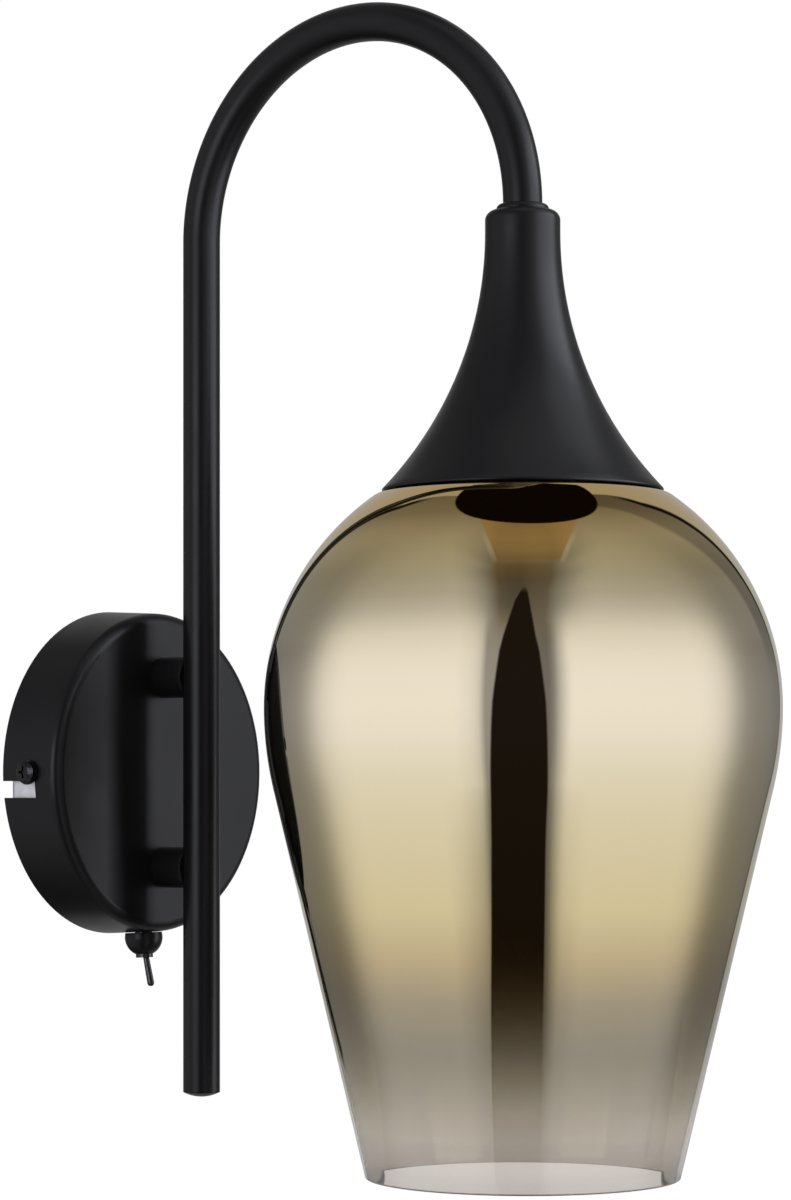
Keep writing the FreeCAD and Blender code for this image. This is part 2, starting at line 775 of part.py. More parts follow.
def lampholder_cap():
    """The lampholder's upper casing, with the boss that takes the nipple."""
    side_z = skirt_top + holder_cap_side
    inner = skirt_radius - holder_cap_wall
    boss_z = holder_top - holder_boss_length
    bore = neck_nipple_radius + thread_fit
    above_rim = insert_top + running_gap
    rim = insert_rim_radius + thread_fit
    return on_shade_axis(
        Outline(bore, holder_top).line(holder_boss_radius, holder_top)
        .line(holder_boss_radius, holder_top - holder_boss_length / 2).line(skirt_radius, side_z)
        .line(skirt_radius, skirt_top).line(rim, skirt_top).line(rim, above_rim).line(inner, above_rim)
        .line(inner, side_z - holder_cap_wall).line(holder_boss_radius, boss_z).line(bore, boss_z).turned())


def thread_wall(shell, offset, start, up):
    """Draw the waves of the screw thread, a half pitch at a time."""
    middle = thread_radius - thread_depth / 2 + offset
    step = thread_pitch / 2 if up else -thread_pitch / 2
    shell.line(middle, start)
    for number in range(2 * thread_turns):
        outward = number % 2 == (0 if up else 1)
        shell.wave(start + step * (number + 1), thread_depth / 2 if outward else -thread_depth / 2)
    return shell


def lampholder_shell():
    """The threaded brass shell that the bulb screws into, with a tab to its terminal."""
    inner = thread_gap
    outer = thread_gap + shell_sheet
    top = socket_floor
    ring_z = top - contact_sheet
    shell_outer = thread_radius - thread_depth / 2 + outer
    body = thread_wall(Outline(thread_radius - thread_depth / 2 + inner, bulb_thread_bottom), inner,
                       bulb_thread_bottom, True)
    body.line(body.here.x, ring_z).line(shell_outer - shell_ring_width, ring_z)
    body.line(shell_outer - shell_ring_width, top).line(shell_outer, top).line(shell_outer, bulb_thread_top)
    shell = thread_wall(body, outer, bulb_thread_top, False).turned()
    tab = block(V(terminal_offset - contact_width / 2, -contact_width / 2, ring_z),
                V(shell_outer - shell_ring_width / 2, contact_width / 2, top))
    return on_shade_axis(shell.fuse(tab).removeSplitter())


def lampholder_contact():
    """The centre contact: a leaf under the socket's floor with a button over the bulb's tip."""
    leaf = block(V(-terminal_offset - contact_width / 3, -contact_width / 2, socket_floor - contact_sheet),
                 V(contact_width / 2, contact_width / 2, socket_floor))
    button = rod(contact_button_radius, V(0, 0, socket_floor - contact_sheet - contact_button_height),
                 V(0, 0, socket_floor - contact_sheet))
    return on_shade_axis(leaf.fuse(button).removeSplitter())


def lampholder_terminals():
    """The brass terminals on the insert, their pins through it, and their screws."""
    half = terminal_side / 2
    top = insert_top + terminal_side
    terminals, screws = [], []
    for side in (-1, 1):
        x = side * terminal_offset
        screw_z = top - half
        pin = rod(terminal_pin_radius, V(x, 0, socket_floor), V(x, 0, insert_top))
        wire_hole = rod(wire_radius + thread_fit, V(x, 0, top - terminal_wire_depth),
                        V(x, 0, top + overrun))
        screw_hole = rod(terminal_screw_radius + thread_fit, V(x, 0, screw_z),
                         V(x, -half - overrun, screw_z))
        post = block(V(x - half, -half, insert_top), V(x + half, half, top)).fuse(pin).removeSplitter()
        terminals.append(on_shade_axis(post.cut(wire_hole).cut(screw_hole)))
        screw = cross_screw(terminal_screw_head, terminal_screw_height, terminal_screw_radius,
                            half - wire_radius - thread_fit)
        screws.append(on_shade_axis(placed(screw, V(x, -half, screw_z), OUT)))
    return Part.makeCompound(terminals), Part.makeCompound(screws)


def bulb_cap():
    """The bulb's threaded brass cap."""
    middle = thread_radius - thread_depth / 2
    body = Outline(middle, bulb_collar_bottom)
    thread_wall(body, 0, bulb_thread_bottom, True)
    body.line(bulb_insulator_radius, bulb_thread_top)
    body.line(bulb_insulator_radius, bulb_thread_top - shell_sheet)
    body.line(middle - shell_sheet, bulb_thread_top - shell_sheet)
    thread_wall(body, -shell_sheet, bulb_thread_top - shell_sheet, False)
    body.line(middle - shell_sheet, bulb_collar_bottom)
    return on_shade_axis(body.turned())


def bulb_insulator():
    """The black glass between the cap and the tip contact."""
    top = bulb_top - bulb_tip_height
    return on_shade_axis(
        Outline(0, bulb_thread_top).line(bulb_insulator_radius, bulb_thread_top)
        .line(bulb_insulator_radius, bulb_thread_top + bulb_insulator_height / 3)
        .line(bulb_tip_radius, top).line(0, top).turned())


def bulb_tip():
    return on_shade_axis(placed(domed_head(bulb_tip_radius, bulb_tip_height),
                                V(0, 0, bulb_top - bulb_tip_height), UP))


def bulb_envelope():
    """The opal envelope: a ball that flares in to a neck under the cap."""
    neck = thread_radius - thread_depth / 2
    ball_z = bulb_top - bulb_length + bulb_radius
    flare = neck + bulb_flare_radius
    flare_z_here = ball_z + math.sqrt((bulb_flare_radius + bulb_radius) ** 2 - flare ** 2)
    join_deg = math.degrees(math.atan2(flare_z_here - ball_z, flare))
    top = bulb_collar_bottom
    return on_shade_axis(
        Outline(neck - bulb_glass, top).line(neck, top).line(neck, flare_z_here)
        .arc((flare, flare_z_here), join_deg + 180).arc((0, ball_z), -90)
        .line(0, ball_z - bulb_radius + bulb_glass).arc((0, ball_z), join_deg)
        .arc((flare, flare_z_here), 180).turned())


def tipped(shape):
    """Turn a piece of the switch square to the canopy's tapered side."""
    shape.rotate(switch_seat, RIGHT, -canopy_draft_deg)
    return shape


def tipped_point(point):
    turn = FreeCAD.Rotation(RIGHT, -canopy_draft_deg)
    return switch_seat + turn.multVec(point - switch_seat)


def switch_bush():
    """The switch's threaded bush with the plate that closes its box."""
    bush = rod(switch_bush_radius, V(0, 0, bush_end), V(0, 0, switch_box_z))
    plate = block(V(-switch_width / 2, -switch_length / 2, switch_plate_z),
                  V(switch_width / 2, switch_length / 2, switch_box_z))
    body = bush.fuse(plate).removeSplitter()
    body = body.cut(rod(switch_bush_bore, V(0, 0, bush_end - overrun), V(0, 0, switch_plate_z)))
    body = body.cut(block(V(-switch_bush_bore, -switch_plate_slot, switch_plate_z),
                          V(switch_bush_bore, switch_plate_slot, switch_box_z + overrun)))
    body.translate(V(0, -switch_out, 0))
    return body


def switch_box():
    """The moulded box that holds the contacts, open towards the plate."""
    low = V(-switch_width / 2, -switch_out - switch_length / 2, switch_box_z)
    high = V(switch_width / 2, -switch_out + switch_length / 2, switch_box_z + switch_height)
    wall = V(switch_wall, switch_wall, switch_wall)
    hollow = block(low + wall - V(0, 0, switch_wall + overrun), high - wall)
    body = block(low, high).cut(hollow)
    for place in lug_places():
        opening = V(lug_width / 2 + thread_fit, lug_thickness / 2 + thread_fit, overrun)
        centre = V(0, place, high.z)
        body = body.cut(block(centre - opening, centre + opening))
    return body


def lug_places():
    """The lugs' distances from the wall: the common one in the middle, the other nearer the wall."""
    return -switch_out, -switch_out + lug_spacing


def switch_lugs():
    """The two contacts, from just above the rocker out to their solder ends."""
    top = switch_box_z + switch_height + lug_reach
    slope = math.radians(rocker_tilt_deg - rocker_fold_deg)
    button = rocker_thickness / 2 + rocker_button_height
    lugs = []
    for place in lug_places():
        away = place + switch_out
        bottom = rocker_pivot.z + away * math.sin(slope) + button + running_gap
        lugs.append(block(V(-lug_width / 2, place - lug_thickness / 2, bottom),
                          V(lug_width / 2, place + lug_thickness / 2, top)))
    return Part.makeCompound(lugs)


def switch_rocker():
    """The folded see-saw contact, tilted as the lever stands in the photograph."""
    arm = block(V(-rocker_width / 2, 0, -rocker_thickness / 2),
                V(rocker_width / 2, rocker_length / 2, rocker_thickness / 2))
    arm = arm.fuse(rod(rocker_button_radius, V(0, lug_spacing, 0),
                       V(0, lug_spacing, rocker_thickness / 2 + rocker_button_height)))
    arm.rotate(V(), RIGHT, -rocker_fold_deg)
    strip = arm.fuse(arm.rotated(V(), UP, 180)).fuse(
        rod(rocker_thickness / 2, V(-rocker_width / 2, 0, 0), V(rocker_width / 2, 0, 0))).removeSplitter()
    strip.translate(rocker_pivot)
    strip.rotate(rocker_pivot, RIGHT, rocker_tilt_deg)
    return strip


def leaned(shape):
    """Lean a piece drawn upright about the lever's pivot, tip away from the wall."""
    shape.translate(lever_pivot)
    shape.rotate(lever_pivot, RIGHT, -lever_lean_deg)
    return shape


def switch_lever():
    ball = Part.makeSphere(switch_bush_bore - lever_ball_gap)
    straight = lever_length - lever_tip_radius
    bat = Part.makeCone(lever_root_radius, lever_tip_radius, straight, V(), DOWN)
    tip = Part.makeSphere(lever_tip_radius, V(0, 0, -straight))
    stem = rod(lever_stem_radius, V(), V(0, 0, plunger_reach - plunger_radius))
    return leaned(ball.fuse(bat).fuse(tip).fuse(stem).removeSplitter())


def switch_plunger():
    """The nylon cap on the lever's inner end, which slides on the rocker."""
    straight_top = plunger_reach - plunger_radius
    cap = rod(plunger_radius, V(0, 0, plunger_start), V(0, 0, straight_top))
    cap = cap.fuse(Part.makeSphere(plunger_radius, V(0, 0, straight_top))).removeSplitter()
    return leaned(cap.cut(rod(lever_stem_radius, V(), V(0, 0, straight_top))))


def switch_ball_nut():
    ball = Part.makeSphere(ball_nut_radius, V(0, 0, ball_nut_z))
    above = block(V(-ball_nut_radius, -ball_nut_radius, switch_wall_z - thread_fit),
                  V(ball_nut_radius, ball_nut_radius, ball_nut_z + ball_nut_radius))
    nut = ball.cut(above).cut(rod(bush_hole, V(0, 0, ball_nut_z - ball_nut_radius - overrun),
                                  V(0, 0, ball_nut_z + ball_nut_radius)))
    nut.translate(V(0, -switch_out, 0))
    return nut


def switch_washer():
    top = V(0, -switch_out, switch_plate_z)
    return ring(switch_washer_radius, bush_hole, top - V(0, 0, switch_washer_thickness), top)


def terminal_block():
    """The two-pole block on the bracket: its body, brass sleeves, clamp screws and fixing screw."""
    half_length, half_height = block_length / 2, block_height / 2
    body = block(V(-half_length, -block_front, -half_height), V(half_length, -bracket_sheet, half_height))
    body = body.makeFillet(block_corner_radius, upright_edges(body, OUT))
    sleeves, screws = [], []
    screw_length = block_depth / 2 - pole_screw_sunk - wire_radius - thread_fit
    for side in (-1, 1):
        x = side * pole_offset
        low, high = V(x, -pole_out, -half_height), V(x, -pole_out, half_height)
        beyond = V(0, 0, overrun)
        body = body.cut(rod(pole_sleeve_radius + thread_fit, low - beyond, high + beyond))
        sleeve = ring(pole_sleeve_radius, pole_sleeve_bore, low, high)
        for height in (-pole_screw_spread, pole_screw_spread):
            hole = rod(pole_screw_radius + thread_fit, V(x, -pole_out, height),
                       V(x, -block_front - overrun, height))
            body, sleeve = body.cut(hole), sleeve.cut(hole)
            screw = slotted_screw(pole_screw_radius, screw_length)
            screws.append(placed(screw, V(x, pole_screw_sunk - block_front, height), OUT))
        sleeves.append(sleeve)
    head_seat = block_front - block_screw_head_height
    body = body.cut(rod(block_screw_radius + hole_fit, V(0, 0, 0), V(0, -block_front, 0)))
    body = body.cut(rod(block_screw_head + thread_fit, V(0, -head_seat, 0),
                        V(0, -block_front - overrun, 0)))
    fixing = placed(cross_screw(block_screw_head, block_screw_head_height, block_screw_radius,
                                head_seat - thread_fit), V(0, -head_seat, 0), OUT)
    return body, Part.makeCompound(sleeves), Part.makeCompound(screws), fixing


def earth_pieces():
    """The earthing screw on the bracket, and the two ring lugs."""
    seat = bracket_sheet + lug_sheet
    screw = placed(cross_screw(earth_head_radius, earth_head_height, earth_screw_radius, seat - thread_fit),
                   V(earth_screw_offset, -seat, 0), OUT)
    bracket_lug = ring_lug(earth_screw_radius + thread_fit)
    bracket_lug.rotate(V(), UP, 90)
    bracket_lug = placed(bracket_lug, V(earth_screw_offset, -bracket_sheet, 0), OUT)
    canopy_lug = ring_lug(link_radius + thread_fit)
    canopy_lug = placed(canopy_lug, V(0, star_washer_thickness - canopy_inside, standoff_height), OUT * -1)
    return screw, bracket_lug, canopy_lug


def wire(points, radii):
    """A wire, over its insulation, along its route."""
    return swept(wire_radius, points, radii)


def arm_route(side):
    """From beside the terminal block, up into the nipple, along the arm and down to a terminal."""
    x = side * wire_spread
    terminal = V(side * terminal_offset, shade_y, insert_top + terminal_side)
    slope_start = V(x, shade_y, neck_nipple_bottom - wire_neck_start)
    slope_end = V(terminal.x, shade_y, slope_start.z - terminal_offset + wire_spread)
    points = [V(side * wire_side, -wire_back, standoff_height), V(x, -wire_back, standoff_height),
              V(x, tube_y, standoff_height)]
    points += arm_points(x)[1:3] + [slope_start, slope_end]
    points.append(terminal - V(0, 0, terminal_wire_depth - thread_fit))
    return points, [wire_bend] * 3 + [arm_bend_radius] * 2 + [wire_tight_bend] * 2


def wires():
    """The supply wire to the switch, the two wires to the lampholder, and the earth wire."""
    foot = -block_height / 2
    into_pole = foot + pole_wire_depth
    route, radii = arm_route(-1)
    neutral = wire([V(-pole_offset, -pole_out, into_pole), V(-pole_offset, -pole_out, foot - wire_turn),
                    V(-wire_side, -pole_out, foot - wire_turn)] + route,
                   [wire_tight_bend] * 2 + radii)
    common, throw = lug_places()
    beside = lug_thickness / 2 + wire_radius + wire_touch
    lug_top = switch_box_z + switch_height + lug_reach
    ends = [lug_top - wire_lug_overlap, lug_top + wire_lug_straight - wire_lug_overlap]
    throw_end, throw_start = (tipped_point(V(0, throw + beside, height)) for height in ends)
    common_end, common_start = (tipped_point(V(0, common - beside, height)) for height in ends)
    route, radii = arm_route(1)
    lamp = wire([throw_end, throw_start, V(wire_side, -wire_back, throw_start.z + wire_side)] + route,
                [wire_bend] * 2 + radii)
    supply = wire([V(pole_offset, -pole_out, into_pole), V(pole_offset, -pole_out, foot - wire_slope_start),
                   common_start, common_end], [wire_bend] * 2)
    return supply, lamp, neutral, earth_wire()


def earth_wire():
    """From the bracket's lug up and forward to the lug on the canopy."""
    lower = earth_screw_radius + thread_fit + lug_border + lug_tail
    upper = link_radius + thread_fit + lug_border + lug_tail
    lower_out = -bracket_sheet - lug_barrel_radius
    upper_out = star_washer_thickness - canopy_inside + lug_barrel_radius
    corner = upper + lug_barrel_length + earth_wire_reach
    return wire([V(earth_screw_offset, lower_out, lower + wire_touch),
                 V(earth_screw_offset, lower_out, lower + lug_barrel_length + earth_wire_rise),
                 V(corner, upper_out, standoff_height), V(upper + wire_touch, upper_out, standoff_height)],
                [wire_bend] * 2)


def main():
    os.makedirs("parts", exist_ok=True)
    side_screws, side_washers = side_pieces()
    nipple, link_washer, link_nut, link_bush = upper_link()
    lower_screw, lower_washer = lower_fixing()
    neck_washer, cup_nut, holder_nut = neck_fasteners()
    terminals, terminal_screws = lampholder_terminals()
    block_body, sleeves, clamp_screws, block_screw = terminal_block()
    earth_screw, bracket_lug, canopy_lug = earth_pieces()
    live_supply, live_lamp, neutral, earth = wires()
    parts = {
        "wall_bracket": wall_bracket(),
        "canopy": canopy(),
        "side_screws": side_screws,
        "side_washers": side_washers,
        "standoff_upper": standoff(standoff_height, link_radius, True),
        "standoff_lower": standoff(-standoff_height, lower_screw_radius, False),
        "upper_nipple": nipple,
        "upper_star_washer": link_washer,
        "upper_nut": link_nut,
        "nipple_end_bush": link_bush,
        "lower_screw": lower_screw,
        "lower_star_washer": lower_washer,
        "arm_tube": arm_tube(),
        "arm_end_cap": arm_end_cap(),
        "arm_tip_insert": arm_tip_insert(),
        "neck_collar": neck_collar(),
        "neck_nipple": neck_nipple(),
        "neck_star_washer": neck_washer,
        "cup_nut": cup_nut,
        "holder_lock_nut": holder_nut,
        "shade_cup": shade_cup(),
        "glass_shade": glass_shade(),
        "shade_gaskets": shade_gaskets(),
        "shade_ring": shade_ring(),
        "lampholder_skirt": lampholder_skirt(),
        "lampholder_cap": lampholder_cap(),
        "lampholder_insert": lampholder_insert(),
        "lampholder_shell": lampholder_shell(),
        "lampholder_contact": lampholder_contact(),
        "lampholder_terminals": terminals,
        "lampholder_screws": terminal_screws,
        "bulb_envelope": bulb_envelope(),
        "bulb_cap": bulb_cap(),
        "bulb_insulator": bulb_insulator(),
        "bulb_tip": bulb_tip(),
        "switch_box": tipped(switch_box()),
        "switch_bush": tipped(switch_bush()),
        "switch_washer": tipped(switch_washer()),
        "switch_ball_nut": tipped(switch_ball_nut()),
        "switch_lugs": tipped(switch_lugs()),
        "switch_rocker": tipped(switch_rocker()),
        "switch_lever": tipped(switch_lever()),
        "switch_plunger": tipped(switch_plunger()),
        "terminal_block": block_body,
        "terminal_sleeves": sleeves,
        "terminal_clamp_screws": clamp_screws,
        "terminal_block_screw": block_screw,
        "earth_screw": earth_screw,
        "earth_lug_bracket": bracket_lug,
        "earth_lug_canopy": canopy_lug,
        "live_wire_supply": live_supply,
        "live_wire_lamp": live_lamp,
        "neutral_wire": neutral,
        "earth_wire": earth,
    }
    for name, shape in parts.items():
        shape.exportStep(f"parts/{name}.step")


main()
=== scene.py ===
"""The looks of the wall lamp: its shown surfaces, its finishes and a soft studio round it.

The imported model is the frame. Pieces that show are modelled here over it, and the others keep their
own mesh and get the finish of their material.
"""

import json
import math

import bpy
from bpy.props import FloatProperty, FloatVectorProperty, PointerProperty
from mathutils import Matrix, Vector


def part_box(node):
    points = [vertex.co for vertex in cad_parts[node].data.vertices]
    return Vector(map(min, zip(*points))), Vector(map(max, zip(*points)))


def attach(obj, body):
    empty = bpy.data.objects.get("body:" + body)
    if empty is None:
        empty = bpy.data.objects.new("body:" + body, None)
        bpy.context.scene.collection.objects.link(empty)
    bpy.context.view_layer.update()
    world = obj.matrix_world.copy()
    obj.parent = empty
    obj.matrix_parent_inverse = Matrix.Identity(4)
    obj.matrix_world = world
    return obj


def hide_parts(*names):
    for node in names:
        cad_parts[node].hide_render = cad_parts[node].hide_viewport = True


bl_info = {
    "name": "Wall lamp with mirrored shade",
    "version": (1, 0, 0),
    "blender": (4, 5, 0),
    "location": "3D View > Sidebar > Wall Lamp",
    "description": "Models and finishes a wall lamp with a gold-mirrored glass shade",
    "category": "Object",
}

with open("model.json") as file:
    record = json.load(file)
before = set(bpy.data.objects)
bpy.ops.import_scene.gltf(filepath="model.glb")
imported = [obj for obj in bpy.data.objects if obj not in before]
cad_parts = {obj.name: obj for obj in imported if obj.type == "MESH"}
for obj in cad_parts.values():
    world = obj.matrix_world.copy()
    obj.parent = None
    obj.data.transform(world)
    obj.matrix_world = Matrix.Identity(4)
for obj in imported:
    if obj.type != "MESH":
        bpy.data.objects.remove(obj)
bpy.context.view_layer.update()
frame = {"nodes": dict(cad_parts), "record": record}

MM = 0.001
WELD = 0.002 * MM
UP = Vector((0, 0, 1))

glass_low, glass_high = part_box("glass_shade")
cup_low, cup_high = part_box("shade_cup")
ring_low, ring_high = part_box("neck_collar")
tube_low, tube_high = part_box("arm_tube")
plug_low, plug_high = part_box("arm_end_cap")

# The upright axis that the shade and its cup are turned about, and the one of the arm's back leg.
shade_axis = Vector((0, (glass_low.y + glass_high.y) / 2, 0))
tube_radius = tube_high.x
leg_axis = Vector((0, tube_high.y - tube_radius, 0))

slot_of = {row["node"]: row["material_slot"] for row in frame["record"]["subparts"]}


def colour(text):
    """An sRGB hex colour as linear red, green and blue."""
    shares = [int(text[i:i + 2], 16) / 255 for i in (0, 2, 4)]
    return tuple(s / 12.92 if s <= 0.04045 else ((s + 0.055) / 1.055) ** 2.4 for s in shares)


def per_mm(size):
    """The scale of a noise whose grains are this many millimetres wide."""
    return 1 / (size * MM)


class ShadeSettings(bpy.types.PropertyGroup):
    """Sizes and colours of the glass shade."""

    widest_radius: FloatProperty(
        name="Widest radius", description="Outer radius of the glass at its widest",
        default=glass_high.x, unit="LENGTH")
    widest_height: FloatProperty(
        name="Widest height", description="Height at which the glass is widest",
        default=21.9 * MM, unit="LENGTH")
    seat_radius: FloatProperty(
        name="Seat radius", description="Radius of the flat top under the cup",
        default=46.8 * MM, unit="LENGTH")
    seat_round: FloatProperty(
        name="Seat rounding", description="Radius of the turn from the flat top to the dome",
        default=8.0 * MM, unit="LENGTH")
    hole_radius: FloatProperty(
        name="Hole radius", description="Radius of the hole that the lampholder goes through",
        default=21.0 * MM, unit="LENGTH")
    waist_radius: FloatProperty(
        name="Waist curve", description="Radius of the curve from the widest place to the straight cone",
        default=122.0 * MM, unit="LENGTH")
    cone_angle: FloatProperty(
        name="Cone angle", description="How far the straight lower part leans in",
        default=math.radians(13.3), subtype="ANGLE")
    wall: FloatProperty(
        name="Wall", description="Thickness of the glass above its straight cone",
        default=2.4 * MM, unit="LENGTH")
    rim_wall: FloatProperty(
        name="Rim wall", description="Thickness of the glass at its open rim",
        default=1.3 * MM, unit="LENGTH")
    mirror_end: FloatProperty(
        name="Mirror ends", description="Height below which the mirror coat starts to thin",
        default=-48.0 * MM, unit="LENGTH")
    clear_start: FloatProperty(
        name="Clear starts", description="Height below which the glass is clear",
        default=-128.0 * MM, unit="LENGTH")
    gold: FloatVectorProperty(
        name="Gold", description="Colour of the mirror coat at the widest place",
        default=colour("EEE2CB"), subtype="COLOR", min=0, max=1)
    amber: FloatVectorProperty(
        name="Amber", description="Colour of the thicker mirror coat at the top",
        default=colour("DEBE80"), subtype="COLOR", min=0, max=1)
    smoke: FloatVectorProperty(
        name="Smoke", description="Colour of the glass where the coat is thin",
        default=colour("BDB5A3"), subtype="COLOR", min=0, max=1)


class MetalSettings(bpy.types.PropertyGroup):
    """Sizes and colours of the arm, the cup and the canopy."""

    tube_wall: FloatProperty(
        name="Tube wall", description="Wall thickness of the arm's tube",
        default=1.0 * MM, unit="LENGTH")
    bend_radius: FloatProperty(
        name="Bend radius", description="Radius of the arm's bend at the tube's middle",
        default=(leg_axis.y - shade_axis.y) / 2, unit="LENGTH")
    wire_hole: FloatProperty(
        name="Wire hole", description="Radius of the hole for the wires in the arm's back leg",
        default=3.0 * MM, unit="LENGTH")
    wire_hole_height: FloatProperty(
        name="Wire hole height", description="Height of the hole for the wires",
        default=35.0 * MM, unit="LENGTH")
    cup_neck_radius: FloatProperty(
        name="Cup neck radius", description="Radius of the cup's straight neck",
        default=12.9 * MM, unit="LENGTH")
    cup_neck_length: FloatProperty(
        name="Cup neck length", description="Length of the cup's straight neck",
        default=7.5 * MM, unit="LENGTH")
    cup_top_round: FloatProperty(
        name="Cup top rounding", description="Radius of the cup's top edge",
        default=3.4 * MM, unit="LENGTH")
    cup_flare: FloatProperty(
        name="Cup flare", description="Radius of the cup's long hollow curve",
        default=127.0 * MM, unit="LENGTH")
    cup_sheet: FloatProperty(
        name="Cup sheet", description="Thickness of the cup's sheet", default=1.2 * MM, unit="LENGTH")
    neck_bore: FloatProperty(
        name="Neck bore", description="Radius of the hole for the threaded nipple",
        default=5.25 * MM, unit="LENGTH")
    coat: FloatVectorProperty(
        name="Coat", description="Colour of the black powder coat",
        default=colour("0B0B0C"), subtype="COLOR", min=0, max=1)
    coat_roughness: FloatProperty(
        name="Coat roughness", description="Roughness of the black powder coat",
        default=0.32, min=0, max=1)


class StudioSettings(bpy.types.PropertyGroup):
    """The camera, the floor and the light."""

    camera_place: FloatVectorProperty(
        name="Camera place", description="Where the camera stands",
        default=(-0.9768, -0.8547, -0.00387), subtype="TRANSLATION", unit="LENGTH")
    camera_heading: FloatProperty(
        name="Camera heading", description="Angle from +X towards +Y along which the camera looks",
        default=math.atan2(0.595, 0.8036), subtype="ANGLE")
    lens: FloatProperty(name="Lens", description="Focal length in millimetres", default=103.76, min=1)
    rise: FloatProperty(
        name="Lens rise", description="Upward shift of the lens, as a share of the long side",
        default=0.1525)
    floor_drop: FloatProperty(
        name="Floor drop", description="How far the floor lies below the wall plate's middle",
        default=1.2, unit="LENGTH")
    floor_width: FloatProperty(
        name="Floor width", description="Side of the floor", default=6.0, unit="LENGTH")
    floor_colour: FloatVectorProperty(
        name="Floor colour", description="Colour of the floor",
        default=colour("F1F0EE"), subtype="COLOR", min=0, max=1)
    lamp_power: FloatProperty(
        name="Lamp power", description="Power of each soft lamp in watts", default=7.0, min=0)
    sheen_power: FloatProperty(
        name="Sheen power", description="Power in watts of the main panel that gives the coat its sheen",
        default=28.5, min=0)
    room_light: FloatProperty(
        name="Room light", description="Strength of the even light from all round", default=0.6, min=0)


def feed(tree, value, socket):
    """Link what another node works out to a socket, or set the socket to a plain value."""
    output = getattr(value, "output", value)
    if isinstance(output, bpy.types.NodeSocket):
        tree.links.new(output, socket)
    else:
        socket.default_value = output


def node(tree, kind, inputs=None, stops=None, **settings):
    """Add a node, set it up, and give its inputs values or the outputs of other nodes."""
    made = tree.nodes.new(kind)
    for name, value in settings.items():
        setattr(made, name, value)
    for socket, value in (inputs or {}).items():
        feed(tree, value, made.inputs[socket])
    if stops:
        elements = made.color_ramp.elements
        while len(elements) < len(stops):
            elements.new(1)
        for element, (place, shade) in zip(elements, stops):
            element.position = place
            shade = shade if isinstance(shade, tuple) else (shade,) * 3
            element.color = (*shade, 1)
    return made


class Reading:
    """A number or a colour that nodes work out, and the sums that are made with it."""

    def __init__(self, tree, output):
        self.tree = tree
        self.output = output

    def maths(self, operation, *others):
        """What a Math node makes of this number and others."""
        made = node(self.tree, "ShaderNodeMath", dict(enumerate((self, *others))), operation=operation)
        return Reading(self.tree, made.outputs["Value"])

    def __add__(self, other):
        return self.maths("ADD", other)

    def __sub__(self, other):
        return self.maths("SUBTRACT", other)

    def __rsub__(self, other):
        made = node(self.tree, "ShaderNodeMath", {0: other, 1: self}, operation="SUBTRACT")
        return Reading(self.tree, made.outputs["Value"])

    def __mul__(self, other):
        return self.maths("MULTIPLY", other)

    def __truediv__(self, other):
        return self.maths("DIVIDE", other)

    def __abs__(self):
        return self.maths("ABSOLUTE")

    def from_zero(self, rounding):
        """The number where it is above zero, with a rounded start."""
        return self.maths("SMOOTH_MAX", 0.0, rounding)

    def steps(self, low, high):
        """0 at the low mark and 1 at the high one, with a smooth change between them."""
        made = node(self.tree, "ShaderNodeMapRange", {"Value": self, "From Min": low, "From Max": high},
                    interpolation_type="SMOOTHSTEP")
        return Reading(self.tree, made.outputs["Result"])

    def ramp(self, low, high, *stops):
        """Levels at marks from low to high, straight between them."""
        share = node(self.tree, "ShaderNodeMapRange", {"Value": self, "From Min": low, "From Max": high})
        places = [((mark - low) / (high - low), level) for mark, level in stops]
        made = node(self.tree, "ShaderNodeValToRGB", {"Fac": share.outputs["Result"]}, stops=places)
        return Reading(self.tree, made.outputs["Color"])


def blend(tree, share, first, second):
    """Mix two colours, each given as values or by another node."""
    mix = node(tree, "ShaderNodeMix", {0: share}, data_type="RGBA")
    for socket, value in ((mix.inputs[6], first), (mix.inputs[7], second)):
        feed(tree, (*value, 1) if isinstance(value, tuple) else value, socket)
    return Reading(tree, mix.outputs[2])


def surface(name, colour_here, roughness, metallic=0.0, **sockets):
    """A material with one Principled shader, and the coordinates that its patterns read."""
    material = bpy.data.materials.new(name)
    material.use_nodes = True
    tree = material.node_tree
    tree.nodes.clear()
    shader = node(tree, "ShaderNodeBsdfPrincipled", {
        "Roughness": roughness, "Metallic": metallic, **sockets})
    shader.inputs["Base Color"].default_value = (*colour_here, 1)
    node(tree, "ShaderNodeOutputMaterial", {"Surface": shader.outputs["BSDF"]})
    place = node(tree, "ShaderNodeTexCoord").outputs["Object"]
    return material, tree, shader, place


def grain(tree, place, size, low, high, detail=2.0):
    """Noise with grains of this many millimetres, spread between two values."""
    noise = node(tree, "ShaderNodeTexNoise", {"Vector": place, "Scale": per_mm(size), "Detail": detail})
    spread = node(tree, "ShaderNodeMapRange", {
        "Value": noise.outputs["Fac"], "From Min": 0.3, "From Max": 0.7, "To Min": low, "To Max": high})
    return spread.outputs["Result"]


def relief(tree, shader, height, depth, strength=1.0):
    """Let a pattern stand out by this many millimetres."""
    bump = node(tree, "ShaderNodeBump", {"Height": height, "Distance": depth * MM, "Strength": strength})
    tree.links.new(bump.outputs["Normal"], shader.inputs["Normal"])


def tint(tree, shader, share, first, second):
    """Let the colour wander between two shades."""
    feed(tree, blend(tree, share, first, second), shader.inputs["Base Color"])


